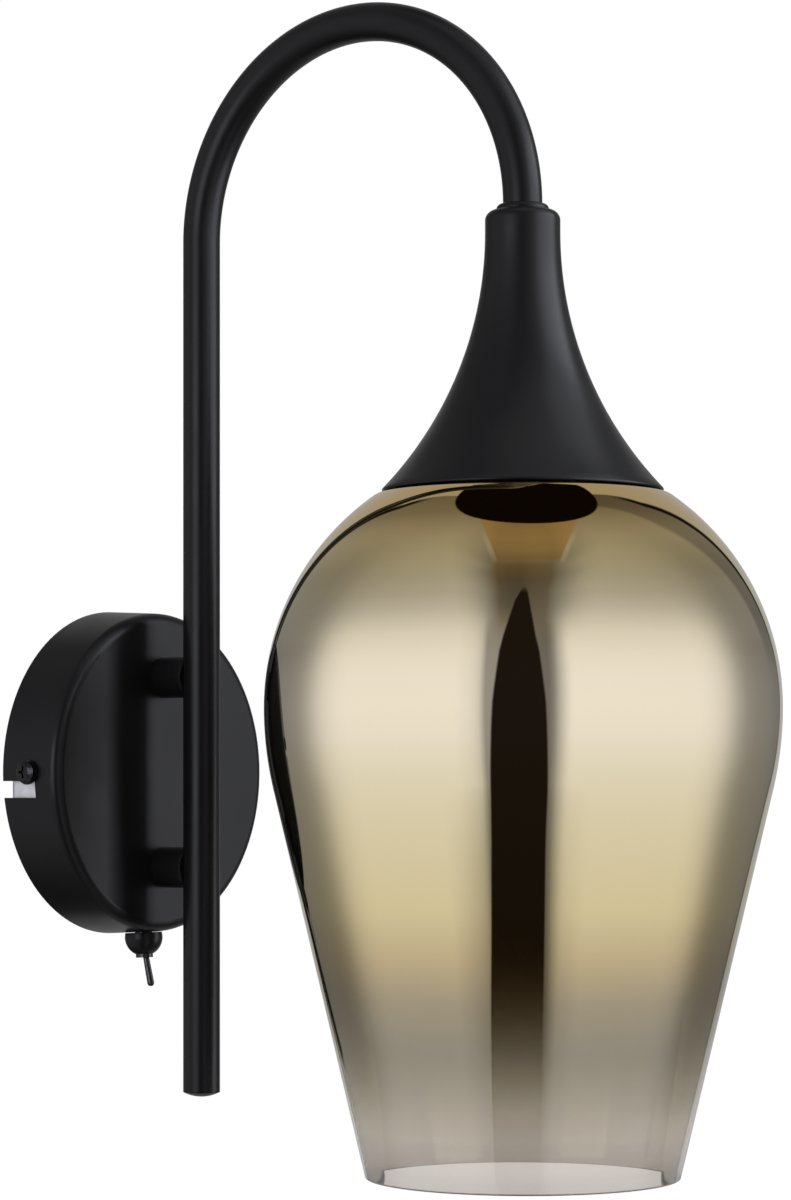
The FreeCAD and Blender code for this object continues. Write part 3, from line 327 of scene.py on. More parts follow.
def powder_coat():
    """Polyester powder coat, sprayed and baked: a satin black skin with a faint orange peel."""
    metal = bpy.context.scene.lamp_metal
    coat = tuple(metal.coat)
    material, tree, shader, place = surface(
        "satin_black_powder_coat", coat, metal.coat_roughness,
        **{"Specular IOR Level": 0.15, "Specular Tint": (0.93, 0.93, 1, 1)})
    # The peel's cells are about 1.5 mm wide and a few microns high, so they only soften the gloss.
    peel = grain(tree, place, 1.5, 0, 1)
    relief(tree, shader, peel, 0.004)
    # Film thickness wanders over some 20 mm, which moves the gloss a little.
    gloss = grain(tree, place, 20, metal.coat_roughness - 0.03, metal.coat_roughness + 0.03)
    tree.links.new(gloss, shader.inputs["Roughness"])
    tint(tree, shader, grain(tree, place, 35, 0, 1), coat, tuple(min(1, c * 1.25) for c in coat))
    return material


def black_zinc():
    """Black-passivated zinc on small steel screws: dark, glossier than the coat, with a blotchy skin."""
    material, tree, shader, place = surface("black_passivated_zinc", colour("141416"), 0.14, 0.85)
    tree.links.new(grain(tree, place, 0.6, 0.08, 0.2), shader.inputs["Roughness"])
    tint(tree, shader, grain(tree, place, 0.9, 0, 1), colour("0C0C0E"), colour("2C2C30"))
    relief(tree, shader, grain(tree, place, 0.9, 0, 1), 0.04)
    return material


def black_nickel():
    """Black nickel on turned brass: a dark mirror with turning lines 0.7 mm apart."""
    material, tree, shader, place = surface("black_nickel_plate", colour("3A3A3C"), 0.3, 1.0)
    rings = node(tree, "ShaderNodeTexWave", {"Vector": place, "Scale": per_mm(2.2), "Distortion": 0.4},
                 bands_direction="Z")
    relief(tree, shader, rings.outputs["Fac"], 0.003)
    tree.links.new(grain(tree, place, 0.8, 0.24, 0.36), shader.inputs["Roughness"])
    return material


def zinc_plate():
    """Bright zinc on pressed steel: pale grey, slightly blue, with clouds of 4 mm in its sheen."""
    material, tree, shader, place = surface("zinc_plated_steel", colour("B9BBC0"), 0.42, 0.9)
    tint(tree, shader, grain(tree, place, 4, 0, 1), colour("B0B2B8"), colour("C4C5C8"))
    tree.links.new(grain(tree, place, 2, 0.36, 0.5), shader.inputs["Roughness"])
    relief(tree, shader, grain(tree, place, 0.5, 0, 1), 0.004)
    return material


def nickel_plate():
    """Nickel on thin brass: warm silver, with a fine mottle of 0.3 mm in its gloss."""
    material, tree, shader, place = surface("nickel_plated_brass", colour("CDC8BC"), 0.24, 1.0)
    tint(tree, shader, grain(tree, place, 6, 0, 1), colour("C6C0B2"), colour("D6D2C8"))
    tree.links.new(grain(tree, place, 0.3, 0.18, 0.3), shader.inputs["Roughness"])
    return material


def brass():
    """Plain brass, pressed or turned: yellow, and browner where it has been handled."""
    material, tree, shader, place = surface("plain_brass", colour("D3A958"), 0.3, 1.0)
    tint(tree, shader, grain(tree, place, 3, 0, 1), colour("B98F49"), colour("DDB868"))
    tree.links.new(grain(tree, place, 1, 0.24, 0.42), shader.inputs["Roughness"])
    return material


def opal_glass():
    """Opal glass of the bulb: milky white, smooth outside, with light soaking a little way in."""
    material, tree, shader, place = surface(
        "opal_glass", colour("F3F1EA"), 0.22, **{"Subsurface Weight": 0.35, "Subsurface Scale": 2 * MM})
    shader.inputs["Subsurface Radius"].default_value = (1, 0.9, 0.75)
    tint(tree, shader, grain(tree, place, 18, 0, 1), colour("EFEDE5"), colour("F7F5F0"))
    tree.links.new(grain(tree, place, 25, 0.18, 0.26), shader.inputs["Roughness"])
    return material


def black_glass():
    """Black glass bead that insulates the bulb's tip: poured, glossy, with a wavy skin."""
    material, tree, shader, place = surface("black_insulator_glass", colour("0B0A10"), 0.06)
    relief(tree, shader, grain(tree, place, 4, 0, 1), 0.05)
    return material


def steatite():
    """Glazed steatite: off-white fired ceramic with grey specks of about 0.4 mm."""
    material, tree, shader, place = surface("glazed_steatite", colour("E8E3D6"), 0.3)
    tint(tree, shader, grain(tree, place, 0.4, 0, 1, 4), colour("DAD4C5"), colour("EEEADF"))
    relief(tree, shader, grain(tree, place, 1.5, 0, 1), 0.02)
    return material


def phenolic():
    """Black phenolic, pressed: dull sheen with a fine mould texture of 0.35 mm."""
    material, tree, shader, place = surface("black_phenolic", colour("121213"), 0.48)
    relief(tree, shader, grain(tree, place, 0.35, 0, 1), 0.012)
    tree.links.new(grain(tree, place, 5, 0.42, 0.54), shader.inputs["Roughness"])
    return material


def nylon():
    """Natural nylon, moulded: waxy off-white with cloudy flow marks of about 5 mm."""
    material, tree, shader, place = surface(
        "natural_nylon", colour("E7E4D6"), 0.4,
        **{"Subsurface Weight": 0.2, "Subsurface Scale": 1.5 * MM})
    tint(tree, shader, grain(tree, place, 5, 0, 1), colour("E0DCCB"), colour("ECEADF"))
    relief(tree, shader, grain(tree, place, 0.6, 0, 1), 0.01)
    return material


def silicone():
    """Translucent white silicone: dull and soft, with faint dust marks of 1.5 mm."""
    material, tree, shader, place = surface(
        "white_silicone", colour("DEDCD5"), 0.5,
        **{"Subsurface Weight": 0.3, "Subsurface Scale": 1 * MM})
    tint(tree, shader, grain(tree, place, 1.5, 0, 1), colour("D3D1CA"), colour("E4E2DC"))
    return material


def wire_skin(name, first, second, size):
    """Extruded PVC round a wire: a smooth sheen over two colours, in bands of this many millimetres."""
    material, tree, shader, place = surface(name, first, 0.36)
    # The bands of diagonal waves are 3.2 times finer than the waves' scale.
    bands = node(tree, "ShaderNodeTexWave", {
        "Vector": place, "Scale": per_mm(size * 3.2), "Distortion": 0.6}, bands_direction="DIAGONAL")
    tint(tree, shader, Reading(tree, bands.outputs["Fac"]).steps(0.42, 0.58), first, second)
    relief(tree, shader, grain(tree, place, 0.5, 0, 1), 0.006)
    return material


def brown_pvc():
    """Brown PVC of the live wires, a shade darker here and there."""
    return wire_skin("brown_pvc", colour("6B3A1F"), colour("5F3219"), 9)


def blue_pvc():
    """Blue PVC of the neutral wire, a shade darker here and there."""
    return wire_skin("blue_pvc", colour("2A63B8"), colour("2458A8"), 9)


def green_yellow_pvc():
    """Green and yellow PVC of the earth wire, in stripes about 3 mm wide."""
    return wire_skin("green_yellow_pvc", colour("E7CF2B"), colour("2E8B3A"), 3)


def mirrored_glass():
    """Blown glass with a vacuum-coated gold mirror that thins out downwards.

    The coat mirrors like metal at the top, browner where it is thick. It thins to smoke over the lower
    third, and leaves the rim as clear glass. That glass is faintly grey of its own, with painted shade
    near the rim for a darker background seen through it.
    """
    shade = bpy.context.scene.lamp_shade
    gold, amber, smoke = (tuple(c) for c in (shade.gold, shade.amber, shade.smoke))
    material, tree, shader, place = surface(
        "gold_mirrored_glass", gold, 0.02, **{"IOR": 1.5, "Transmission Weight": 1.0})
    height = Reading(tree, node(tree, "ShaderNodeSeparateXYZ", {"Vector": place}).outputs["Z"])
    low, high = glass_low.z, glass_high.z
    # Both ramps give their marks as heights, from the rim up to the top.
    # The lowest stops, from the rim up to -112 mm, are painted shade. Their grey, darkest at the rim
    # itself, stands in for a darker background seen through the clear glass, over the glass's own faint
    # grey.
    colours = height.ramp(
        low, high, (low, colour("C2BCB7")), (-130 * MM, colour("D2CCC6")), (-121 * MM, colour("D9D3CA")),
        (-112 * MM, colour("CDC7BB")), (-92 * MM, smoke), (-76 * MM, colour("BDB094")),
        (-62 * MM, colour("C9B68E")), (-44 * MM, colour("D5C59A")), (-20 * MM, colour("DBCDA8")),
        (0, colour("E2D6B8")), (12 * MM, colour("E9DDC6")), (30 * MM, gold), (52 * MM, colour("EADDBF")),
        (70 * MM, colour("E1CD9A")), (88 * MM, amber))
    feed(tree, colours, shader.inputs["Base Color"])
    coat = height.ramp(
        low, high, (low, 0.04), (shade.clear_start, 0.06), (-112 * MM, 0.12), (-95 * MM, 0.31),
        (-78 * MM, 0.6), (-62 * MM, 0.88), (shade.mirror_end, 1.0))
    feed(tree, coat, shader.inputs["Metallic"])
    # Blown glass is never quite even: its skin swells by hundredths of a millimetre over 45 mm.
    relief(tree, shader, grain(tree, place, 45, 0, 1, 0), 0.05)
    return material


# The finish of each of the record's material slots, and the finishes made so far.
finishes = {
    "black_metal": powder_coat, "black_nickel": black_nickel, "zinc_steel": zinc_plate,
    "mirror_glass": mirrored_glass, "opal_glass": opal_glass, "black_glass": black_glass,
    "nickel_brass": nickel_plate, "brass": brass, "ceramic": steatite, "black_plastic": phenolic,
    "white_nylon": nylon, "silicone": silicone, "brown_pvc": brown_pvc, "blue_pvc": blue_pvc,
    "green_yellow_pvc": green_yellow_pvc,
}
made_finishes = {}


def finish(maker):
    """The material of a finish, made once."""
    if maker not in made_finishes:
        made_finishes[maker] = maker()
    return made_finishes[maker]


def dress(nodes, maker=None):
    """Give nodes of the frame the finish of their material, or another one."""
    for name in nodes:
        slots = frame["nodes"][name].data.materials
        slots.clear()
        slots.append(finish(maker or finishes[slot_of[name]]))


def arc(centre, radius, start, end, step=2.0):
    """Points of radius and height round a centre, with angles in degrees from the radius axis to Z."""
    count = max(2, round(abs(end - start) / step))
    angles = [math.radians(start + (end - start) * i / count) for i in range(count + 1)]
    return [(centre[0] + radius * math.cos(a), centre[1] + radius * math.sin(a)) for a in angles]


def run(start, end, step=5 * MM):
    """Points of radius and height along a straight run, without its two ends."""
    count = max(1, round(math.dist(start, end) / step))
    return [tuple(a + (b - a) * i / count for a, b in zip(start, end)) for i in range(1, count)]


def turned(name, outline, axis, steps):
    """Draw a closed outline of radius and height point by point, and spin it round an upright axis."""
    points = [axis + Vector((radius, 0, height)) for radius, height in outline]
    points.append(points[0])
    bpy.ops.object.select_all(action="DESELECT")
    bpy.ops.mesh.primitive_plane_add(size=MM, location=points[0])
    piece = bpy.context.active_object
    piece.name = piece.data.name = name
    bpy.ops.object.mode_set(mode="EDIT")
    bpy.ops.mesh.select_all(action="SELECT")
    bpy.ops.mesh.merge(type="CENTER")
    for before, after in zip(points, points[1:]):
        if after != before:
            bpy.ops.mesh.extrude_vertices_move(TRANSFORM_OT_translate={"value": after - before})
    bpy.ops.mesh.select_all(action="SELECT")
    bpy.ops.mesh.spin(steps=steps, angle=math.tau, center=axis, axis=UP)
    bpy.ops.mesh.select_all(action="SELECT")
    bpy.ops.mesh.remove_doubles(threshold=WELD)
    bpy.ops.mesh.normals_make_consistent(inside=False)
    bpy.ops.object.mode_set(mode="OBJECT")
    return piece


def settle(piece, body, slot, *replaced, maker=None, crease=math.radians(35)):
    """Put a finished piece's place into its mesh, smooth it, dress it and let it ride."""
    bpy.ops.object.select_all(action="DESELECT")
    piece.select_set(True)
    bpy.context.view_layer.objects.active = piece
    bpy.ops.object.transform_apply(location=True, rotation=True, scale=True)
    bpy.ops.object.shade_smooth_by_angle(angle=crease)
    piece.data.materials.clear()
    piece.data.materials.append(finish(maker or finishes[slot]))
    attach(piece, body)
    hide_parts(*replaced)


def use(piece, kind, **settings):
    """Add a modifier, set it up and apply it."""
    bpy.context.view_layer.objects.active = piece
    modifier = piece.modifiers.new(kind.lower(), kind)
    for name, value in settings.items():
        setattr(modifier, name, value)
    bpy.ops.object.modifier_apply(modifier=modifier.name)


class LAMP_OT_canopy(bpy.types.Operator):
    """Finish the canopy, the wall bracket behind it and its side screws"""

    bl_idname = "lamp.canopy"
    bl_label = "Canopy"

    def execute(self, context):
        dress(["canopy", "wall_bracket"])
        dress(["side_screws", "side_washers"], black_zinc)
        return {"FINISHED"}


class LAMP_OT_arm(bpy.types.Operator):
    """Bend the arm's tube, close its foot, and finish what holds it to the canopy"""

    bl_idname = "lamp.arm"
    bl_label = "Arm"

    def execute(self, context):
        metal = context.scene.lamp_metal
        bend = shade_axis.lerp(leg_axis, 0.5) + Vector((0, 0, ring_high.z))
        foot = leg_axis + Vector((0, 0, tube_low.z))
        bpy.ops.object.select_all(action="DESELECT")
        bpy.ops.mesh.primitive_circle_add(vertices=64, radius=tube_radius, location=foot)
        tube = context.active_object
        tube.name = tube.data.name = "bent_arm_tube"
        bpy.ops.object.mode_set(mode="EDIT")
        bpy.ops.mesh.select_all(action="SELECT")
        lengths = 12
        for _ in range(lengths):
            step = Vector((0, 0, (bend.z - foot.z) / lengths))
            bpy.ops.mesh.extrude_region_move(TRANSFORM_OT_translate={"value": step})
        bpy.ops.mesh.spin(steps=96, angle=math.pi, center=bend, axis=(-1, 0, 0))
        bpy.ops.mesh.select_all(action="SELECT")
        bpy.ops.mesh.remove_doubles(threshold=WELD)
        bpy.ops.mesh.normals_make_consistent(inside=False)
        bpy.ops.object.mode_set(mode="OBJECT")
        if max(vertex.co.z for vertex in tube.data.vertices) + foot.z < bend.z + metal.bend_radius:
            raise RuntimeError("the arm's bend doesn't go over the top")
        use(tube, "SOLIDIFY", thickness=metal.tube_wall, offset=-1, use_even_offset=True)
        hole_middle = leg_axis + Vector((0, tube_radius, metal.wire_hole_height))
        bpy.ops.object.select_all(action="DESELECT")
        bpy.ops.mesh.primitive_cylinder_add(vertices=48, radius=metal.wire_hole, depth=tube_radius,
                                            location=hole_middle, rotation=(math.pi / 2, 0, 0))
        drill = context.active_object
        use(tube, "BOOLEAN", operation="DIFFERENCE", object=drill, solver="EXACT")
        bpy.data.objects.remove(drill)
        settle(tube, "lamp", "black_metal", "arm_tube")

        # The plug's spigot goes up into the tube, and its shallow dome closes the foot.
        clearance, bevel, brim, nick = 0.15 * MM, 0.5 * MM, 0.4 * MM, 0.1 * MM
        spigot = tube_radius - metal.tube_wall - clearance
        rise = tube_low.z - brim - plug_low.z
        dome = (tube_radius ** 2 + rise ** 2) / (2 * rise)
        reach = math.degrees(math.asin(tube_radius / dome))
        outline = [(0, plug_high.z), (spigot - bevel, plug_high.z), (spigot, plug_high.z - bevel),
                   (spigot, tube_low.z), (tube_radius - nick, tube_low.z),
                   (tube_radius, tube_low.z - nick)]
        outline += arc((0, plug_low.z + dome), dome, reach - 90, -90, 3)
        plug = turned("domed_foot_plug", outline, leg_axis, 96)
        settle(plug, "lamp", "black_metal", "arm_end_cap")
        dress(["standoff_upper", "standoff_lower", "upper_nipple", "upper_nut", "upper_star_washer",
               "nipple_end_bush", "lower_screw", "lower_star_washer", "arm_tip_insert"])
        return {"FINISHED"}


class LAMP_OT_cup(bpy.types.Operator):
    """Spin the trumpet-shaped cup and the ring above it, and finish the nuts inside"""

    bl_idname = "lamp.cup"
    bl_label = "Shade cup"

    def execute(self, context):
        metal = context.scene.lamp_metal
        neck, flare, sheet = metal.cup_neck_radius, metal.cup_flare, metal.cup_sheet
        top, rim, bore = cup_high.z, cup_low.z, metal.neck_bore
        flare_z = top - metal.cup_neck_length
        corner = (neck - metal.cup_top_round, top - metal.cup_top_round)
        middle = (neck + flare, flare_z)
        lip = sheet / 2
        lip_deg = 180 + math.degrees(math.asin((flare_z - rim - lip) / (flare + lip)))
        lip_middle = arc(middle, flare + lip, lip_deg, lip_deg + 1)[0]
        outline = [(bore, top)] + run((bore, top), (corner[0], top), 2 * MM)
        outline += arc(corner, metal.cup_top_round, 90, 0, 10)
        outline += arc(middle, flare, 180, lip_deg, 1.2)
        outline += arc(lip_middle, lip, lip_deg - 180, lip_deg - 360, 30)[1:-1]
        outline += arc(middle, flare + sheet, lip_deg, 180, 1.2)
        outline += arc(corner, metal.cup_top_round - sheet, 0, 90, 15)
        outline += [(bore, top - sheet)]
        cup = turned("spun_shade_cup", outline, shade_axis, 128)
        settle(cup, "lamp", "black_metal", "shade_cup")

        radius, low, high = ring_high.x, ring_low.z, ring_high.z
        turn = 1.6 * MM
        outline = [(bore, high), (radius - turn, high)]
        outline += arc((radius - turn, high - turn), turn, 90, 0, 10)
        outline += [(radius, low), (bore, low)]
        ring = turned("neck_ring", outline, shade_axis, 96)
        settle(ring, "lamp", "black_metal", "neck_collar")
        dress(["neck_nipple", "cup_nut", "neck_star_washer", "holder_lock_nut"])
        return {"FINISHED"}


class LAMP_OT_shade(bpy.types.Operator):
    """Blow the glass shade, and finish the gaskets and the ring that hold it"""

    bl_idname = "lamp.shade"
    bl_label = "Glass shade"

    def execute(self, context):
        shade = context.scene.lamp_shade
        wall, widest_z = shade.wall, shade.widest_height
        top = glass_high.z
        round_z = top - shade.seat_round
        shoulder = math.degrees(math.atan2(round_z - widest_z, shade.seat_radius))
        cone = math.degrees(shade.cone_angle)
        waist = (shade.widest_radius - shade.waist_radius, widest_z)
        corner = (shade.seat_radius, round_z)
        low_end = glass_low.z + shade.rim_wall / 2
        cone_top = arc(waist, shade.waist_radius, -cone, -cone - 1)[0]
        rim_radius = cone_top[0] - (cone_top[1] - low_end) * math.tan(shade.cone_angle)

        def side(inset, rim_inset):
            """One face of the glass from the hole down to the rim."""
            points = [(shade.hole_radius, top - inset)]
            points += run(points[0], (shade.seat_radius, top - inset))
            points += arc(corner, shade.seat_round - inset, 90, shoulder, 3)
            points += arc((0, widest_z), shade.widest_radius - inset, shoulder, 0, 1.2)[1:]
            points += arc(waist, shade.waist_radius - inset, 0, -cone, 1.2)[1:]
            end = (rim_radius - rim_inset, low_end)
            return points + run(points[-1], end) + [end]

        outer, inner = side(0, 0), side(wall, shade.rim_wall / math.cos(shade.cone_angle))
        centre = tuple((a + b) / 2 for a, b in zip(outer[-1], inner[-1]))
        half = math.dist(outer[-1], inner[-1]) / 2
        start = math.degrees(math.atan2(outer[-1][1] - centre[1], outer[-1][0] - centre[0]))
        rim = arc(centre, half, start, start - 180, 15)[1:-1]
        glass = turned("mirrored_shade", outer + rim + inner[::-1], shade_axis, 192)
        settle(glass, "lamp", "mirror_glass", "glass_shade", crease=math.radians(60))
        dress(["shade_gaskets", "shade_ring"])
        return {"FINISHED"}


class LAMP_OT_lampholder(bpy.types.Operator):
    """Finish the lampholder and the bulb in it"""

    bl_idname = "lamp.lampholder"
    bl_label = "Lampholder and bulb"

    def execute(self, context):
        dress(["lampholder_cap", "lampholder_skirt", "lampholder_insert", "lampholder_shell",
               "lampholder_contact", "lampholder_terminals", "lampholder_screws",
               "bulb_envelope", "bulb_cap", "bulb_insulator", "bulb_tip"])
        return {"FINISHED"}


class LAMP_OT_switch(bpy.types.Operator):
    """Finish the toggle switch under the canopy"""

    bl_idname = "lamp.switch"
    bl_label = "Toggle switch"

    def execute(self, context):
        dress(["switch_box", "switch_lugs", "switch_rocker", "switch_plunger", "switch_washer",
               "switch_ball_nut"])
        dress(["switch_bush", "switch_lever"], black_nickel)
        return {"FINISHED"}


class LAMP_OT_wiring(bpy.types.Operator):
    """Finish the terminal block, the earth fixings and the wires"""

    bl_idname = "lamp.wiring"
    bl_label = "Wiring"

    def execute(self, context):
        dress(["terminal_block", "terminal_sleeves", "terminal_clamp_screws", "terminal_block_screw",
               "earth_screw", "earth_lug_bracket", "earth_lug_canopy", "earth_wire",
               "live_wire_supply", "live_wire_lamp", "neutral_wire"])
        return {"FINISHED"}


def mirrored_panels(tree, turn, height):
    """How bright the two tall panels are, and the space between them.

    Level with the lamp the left panel's edge is crisp, and the right one's is softer. Low down both are
    feathered. High up both are soft, draw together and fade into an even ceiling.
    """
    narrow = height.ramp(-90, 90, (-90, 1), (25, 1), (36.6, 0.95), (45.5, 0.8), (50, 0.75), (54, 0.65),
                         (58, 0.54), (62, 0.505), (66, 0.385), (75, 0.28), (81, 0.215), (90, 0.1))
    across = turn * narrow
    level = across.ramp(-40, 40, (-28, 1), (-22, 0.92), (-19.5, 0.86), (-17.3, 0.75), (-15.8, 0.55),
                        (-14.5, 0.36), (-8, 0.34), (4, 0.2), (12.4, 0.18), (14.1, 0.235), (15.8, 0.36),
                        (17.5, 0.55), (19.3, 0.72), (21, 0.87), (22.7, 0.97), (24.5, 1))
    feather = turn.ramp(-40, 40, (-37, 1), (-33, 0.91), (-28, 0.82), (-22, 0.74), (-17, 0.68),
                        (15, 0.76), (20, 0.8), (24, 0.84), (27.5, 0.89), (31, 0.95), (35, 1))
    level = blend(tree, height.steps(-24, -29), level, level * feather)
    high = across.ramp(-40, 40, (-30, 1), (-24.6, 0.92), (-20.5, 0.8), (-16, 0.6), (-11.7, 0.355),
                       (-9, 0.22), (-5, 0.185), (0, 0.17), (5, 0.22), (12, 0.25), (16.5, 0.45),
                       (21, 0.64), (26, 0.84), (31, 0.95), (36, 1))
    panels = blend(tree, height.steps(25, 46), level, high)
    fading = height.ramp(-90, 90, (-90, 0), (56, 0), (63, 0.09), (67, 0.25), (71, 0.4), (76, 0.52),
                         (82, 0.6))
    return blend(tree, fading, panels, (1, 1, 1))


def mirrored_gap(turn, height):
    """0 in the dark gap between the panels and 1 beside it. Upwards it narrows to a leaning tip."""
    widest, farthest_lean, low_lean, softness = 20.0, 3.0, 2.4, 0.6
    half = height.ramp(-90, 90, (-90, 0.85), (-31.5, 0.84), (-27.5, 0.68), (-17, 0.64), (1.4, 0.57),
                       (23.4, 0.45), (36.8, 0.31), (46, 0.2), (50, 0.11), (53, 0)) * widest
    lean = height.ramp(-90, 90, (-90, 0), (30, 0), (41, 0.27), (46, 0.43), (51, 0.83)) * farthest_lean
    lean = lean - height.steps(-26, -32) * low_lean
    beside = abs(turn - lean).steps(half - softness, half + softness)
    return beside.maths("MAXIMUM", height.steps(49, 54))


def mirrored_back(tree, turn, height, tilt):
    """How bright the surroundings are from the sides round to the back, and how dark their end is.

    The dark line that ends them comes further round the higher it goes, and on the right the lower it
    goes. How far round the ray points, measured by that line, is given too.
    """
    back_middle, brown_depth, line_depth = 2.2, 0.4, 0.95
    on_right = turn.steps(0, 60)
    wide = abs(turn) - (on_right + 0.5) * 3.0
    level = wide.ramp(0, 180, (0, 1), (80, 0.99), (86, 0.95), (90, 0.9), (94, 0.83), (98, 0.73),
                      (102, 0.6), (107, 0.46), (112, 0.36), (117, 0.31), (122, 0.28), (130, 0.255),
                      (138, 0.235), (148, 0.2))
    above = wide.ramp(0, 180, (0, 1), (40, 1), (80, 0.9), (98, 0.78), (111, 0.62), (120, 0.55),
                      (180, 0.55))
    sides = blend(tree, tilt.steps(12, 30), level, above)
    sides = blend(tree, tilt.steps(30, 46), sides, (0.85, 0.85, 0.85))
    # Both slopes start softly, so that the line has no corners.
    higher = (height.maths("MINIMUM", 45.0) - 7.0).from_zero(20.0) * 0.355
    lower = (height * -0.8).from_zero(6.0) * on_right
    end = abs(turn - back_middle) + higher + lower
    brown = end.steps(142, 146) * on_right * tilt.steps(8, 22)
    line = end.steps(155.6, 156.8) * height.steps(56, 48)
    depth = line_depth - on_right * tilt.steps(32, 12) * 0.7
    return sides, (1.0 - brown * brown_depth) * (1.0 - line * depth), end


def mirrored_reflector(offset, tilt):
    """Where the brown reflector hangs, wider at its top, and where the paler strips beside it are."""
    foot, left_flare, right_flare = 33.0, 0.0047, 0.0066
    rise = tilt - foot
    from_left = offset + rise * left_flare
    from_right = offset - rise * right_flare
    above_foot = tilt.steps(31.5, 33.5)
    reflector = from_left.steps(-0.108, -0.1) * from_right.steps(0.136, 0.128) * above_foot
    strips = from_left.steps(-0.13, -0.115) * from_right.steps(0.158, 0.143) - reflector
    return reflector, strips * (above_foot * tilt.steps(42, 36))


def studio_light(tree, heading):
    """The white surroundings as glass and metal mirror them.

    Two tall soft panels stand beside the camera, with a dark gap between them. High up between them
    hangs a brown reflector, and over it a round black flag. The light falls off upwards and behind the
    lamp. Directions are in degrees: the turn grows from the middle of the gap to the camera's right,
    the height upwards, and the tilt is that of a face which mirrors the direction to the camera.
    """
    gap_side, strip_gain, flag_radius, flag_softness = 3.8, 0.35, 18.6, 0.3
    dark_gap, black_flag = colour("1E1814"), colour("0F0A09")
    pale_wall, brown = (0.45, 0.45, 0.45), (1.14, 0.85, 0.5)
    toward = Vector((-math.cos(heading), -math.sin(heading), 0))
    aside = Vector((math.sin(heading), -math.cos(heading), 0))
    ray = node(tree, "ShaderNodeTexCoord").outputs["Generated"]

    def along(direction):
        """How far the ray goes along a direction."""
        product = node(tree, "ShaderNodeVectorMath", {0: ray, 1: direction}, operation="DOT_PRODUCT")
        return Reading(tree, product.outputs["Value"])

    front, side, up = along(toward), along(aside), along(UP)
    turn = side.maths("ARCTAN2", front) * math.degrees(1) + gap_side
    height = up.maths("ARCSINE") * math.degrees(1)
    halfway = ((front + 1.0) * 2.0).maths("SQRT")
    tilt = (up / halfway).maths("ARCSINE") * math.degrees(1)

    panels = mirrored_panels(tree, turn, height)
    sides, dim, end = mirrored_back(tree, turn, height, tilt)
    falling = tilt.ramp(-40, 60, (-40, 0.25), (-30, 0.5), (-20, 0.93), (-10, 0.97), (0, 1), (10.6, 0.93),
                        (16, 0.82), (21.5, 0.585), (25, 0.5), (29.5, 0.465), (35.5, 0.475),
                        (39.5, 0.455), (42.5, 0.4), (48, 0.26), (55, 0.2), (60, 0.16))
    reflector, strips = mirrored_reflector(side / halfway, tilt)
    glow = (falling * sides) * (panels * dim) * (strips * strip_gain + 1.0)
    # The reflector is brown, and so is the dark between the panels below it.
    nearness = tilt.steps(25, 33) * 0.6 + 0.4
    below = panels.steps(0.5, 0.2) * (nearness * height.steps(20, 38))
    tone = blend(tree, reflector.maths("MAXIMUM", below), (1, 1, 1), brown)
    toned = node(tree, "ShaderNodeVectorMath", {0: tone, "Scale": glow}, operation="SCALE")
    glowing = blend(tree, end.steps(158.2, 159.8), toned.outputs["Vector"], pale_wall)
    overhead = along((UP - toward * 0.265 + aside * 0.027).normalized())
    flag = overhead.steps(math.cos(math.radians(flag_radius + flag_softness)),
                          math.cos(math.radians(flag_radius - flag_softness)))
    glowing = blend(tree, mirrored_gap(turn, height), dark_gap, glowing)
    return blend(tree, flag, glowing, black_flag)


# Each lamp's name, how far it stands to the camera's right of the shade, above it and towards the
# camera, and its width, in metres. The soft lamps light everything.
soft_lamps = (
    ("left_soft_lamp", -1.1, 0.5, 0.9, 1.0),
    ("right_soft_lamp", 1.1, 0.3, 0.9, 1.0),
    ("top_soft_lamp", 0.1, 1.6, 0.9, 1.2),
)
# The panels that give the black coat its sheen, each with its share of the main one's power.
sheen_panels = (
    ("right_sheen_panel", 1.15, 0.2, 0.3, 1.55, 1.0),
    ("upper_sheen_panel", 1.2, 1.1, 0.15, 1.3, 0.32),
    ("top_sheen_panel", 0.2, 1.5, 0.3, 1.2, 0.11),
    ("left_sheen_panel", -0.75, 0.1, 0.85, 0.6, 0.14),
)


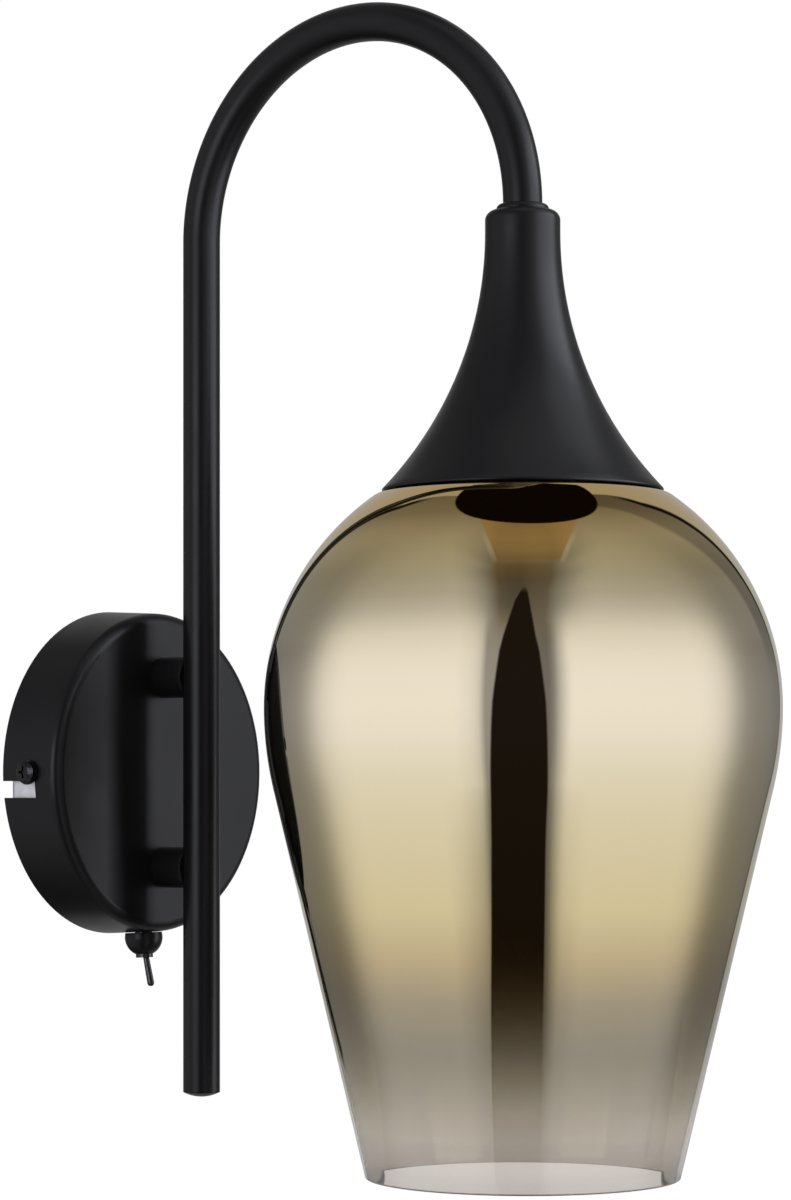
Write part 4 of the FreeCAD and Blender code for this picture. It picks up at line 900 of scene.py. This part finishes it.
class LAMP_OT_stage(bpy.types.Operator):
    """Set up the camera, the pale floor, the soft lamps and the white surroundings"""

    bl_idname = "lamp.stage"
    bl_label = "Camera, floor and light"

    def execute(self, context):
        scene, studio = context.scene, context.scene.lamp_studio
        heading = studio.camera_heading
        look = Vector((math.cos(heading), math.sin(heading), 0))
        camera = bpy.data.objects.new("camera", bpy.data.cameras.new("camera"))
        camera.location = studio.camera_place
        camera.rotation_euler = look.to_track_quat("-Z", "Y").to_euler()
        camera.data.lens = studio.lens
        camera.data.shift_y = studio.rise
        scene.collection.objects.link(camera)
        scene.camera = camera

        bpy.ops.object.select_all(action="DESELECT")
        bpy.ops.mesh.primitive_plane_add(size=studio.floor_width, location=(0, 0, -studio.floor_drop))
        floor = context.active_object
        floor.name = "floor"
        floor.visible_glossy = False
        material, tree, shader, place = surface("pale_matt_floor", tuple(studio.floor_colour), 0.8)
        tint(tree, shader, grain(tree, place, 400, 0, 1), tuple(studio.floor_colour), colour("ECEBE8"))
        floor.data.materials.append(material)

        right = Vector((math.sin(heading), -math.cos(heading), 0))

        def lamp(name, side, lift, back, size, power):
            """A soft square lamp that faces the shade."""
            made = bpy.data.objects.new(name, bpy.data.lights.new(name, "AREA"))
            made.data.size = size
            made.data.energy = power
            made.location = shade_axis + right * side - look * back + UP * lift
            made.rotation_euler = (shade_axis - made.location).to_track_quat("-Z", "Y").to_euler()
            scene.collection.objects.link(made)
            return made

        for row in soft_lamps:
            lamp(*row, studio.lamp_power).visible_glossy = False
        # The glass is kept out of the light of the sheen panels.
        unlit = bpy.data.collections.new("not_in_the_sheen_light")
        unlit.objects.link(bpy.data.objects["mirrored_shade"])
        unlit.collection_objects[0].light_linking.link_state = "EXCLUDE"
        for *row, share in sheen_panels:
            sheen = lamp(*row, studio.sheen_power * share)
            sheen.data.color = (0.93, 0.95, 1)
            sheen.visible_camera = False
            sheen.light_linking.receiver_collection = unlit

        world = bpy.data.worlds.new("studio")
        world.use_nodes = True
        scene.world = world
        tree = world.node_tree
        tree.nodes.clear()
        rays = node(tree, "ShaderNodeLightPath")
        # Camera, glossy and transmitted rays see the white surroundings, at a strength of 1.
        seen = node(tree, "ShaderNodeMath", {
            0: rays.outputs["Is Camera Ray"], 1: rays.outputs["Is Glossy Ray"]}, operation="MAXIMUM")
        seen = node(tree, "ShaderNodeMath", {
            0: seen.outputs["Value"], 1: rays.outputs["Is Transmission Ray"]}, operation="MAXIMUM")
        mirrored = node(tree, "ShaderNodeMath", {
            0: rays.outputs["Is Glossy Ray"], 1: rays.outputs["Is Transmission Ray"]},
            operation="SUBTRACT", use_clamp=True)
        # Only what is mirrored shows the panels. Through the glass, the surroundings are plain white.
        around = blend(tree, mirrored.outputs["Value"], (1, 1, 1), studio_light(tree, heading))
        white = node(tree, "ShaderNodeBackground", {"Color": around, "Strength": 1.0})
        room = node(tree, "ShaderNodeBackground", {"Color": (1, 1, 1, 1), "Strength": studio.room_light})
        both = node(tree, "ShaderNodeMixShader", {
            0: seen.outputs["Value"], 1: room.outputs["Background"], 2: white.outputs["Background"]})
        node(tree, "ShaderNodeOutputWorld", {"Surface": both.outputs["Shader"]})
        scene.view_settings.view_transform = "Standard"
        return {"FINISHED"}


makers = (LAMP_OT_canopy, LAMP_OT_arm, LAMP_OT_cup, LAMP_OT_shade, LAMP_OT_lampholder, LAMP_OT_switch,
          LAMP_OT_wiring, LAMP_OT_stage)


class LAMP_PT_panel(bpy.types.Panel):
    """The lamp's pieces and their settings"""

    bl_label = "Wall Lamp"
    bl_idname = "LAMP_PT_panel"
    bl_space_type = "VIEW_3D"
    bl_region_type = "UI"
    bl_category = "Wall Lamp"

    def draw(self, context):
        for maker in makers:
            self.layout.operator(maker.bl_idname, text=maker.bl_label)
        for settings in (context.scene.lamp_shade, context.scene.lamp_metal, context.scene.lamp_studio):
            box = self.layout.box()
            for name in settings.__annotations__:
                box.prop(settings, name)


classes = (ShadeSettings, MetalSettings, StudioSettings, *makers, LAMP_PT_panel)


def register():
    for each in classes:
        bpy.utils.register_class(each)
    bpy.types.Scene.lamp_shade = PointerProperty(type=ShadeSettings)
    bpy.types.Scene.lamp_metal = PointerProperty(type=MetalSettings)
    bpy.types.Scene.lamp_studio = PointerProperty(type=StudioSettings)


def unregister():
    del bpy.types.Scene.lamp_studio
    del bpy.types.Scene.lamp_metal
    del bpy.types.Scene.lamp_shade
    for each in reversed(classes):
        bpy.utils.unregister_class(each)


def main():
    register()
    bpy.ops.lamp.canopy()
    bpy.ops.lamp.arm()
    bpy.ops.lamp.cup()
    bpy.ops.lamp.shade()
    bpy.ops.lamp.lampholder()
    bpy.ops.lamp.switch()
    bpy.ops.lamp.wiring()
    bpy.ops.lamp.stage()


if __name__ == "__main__":
    main()
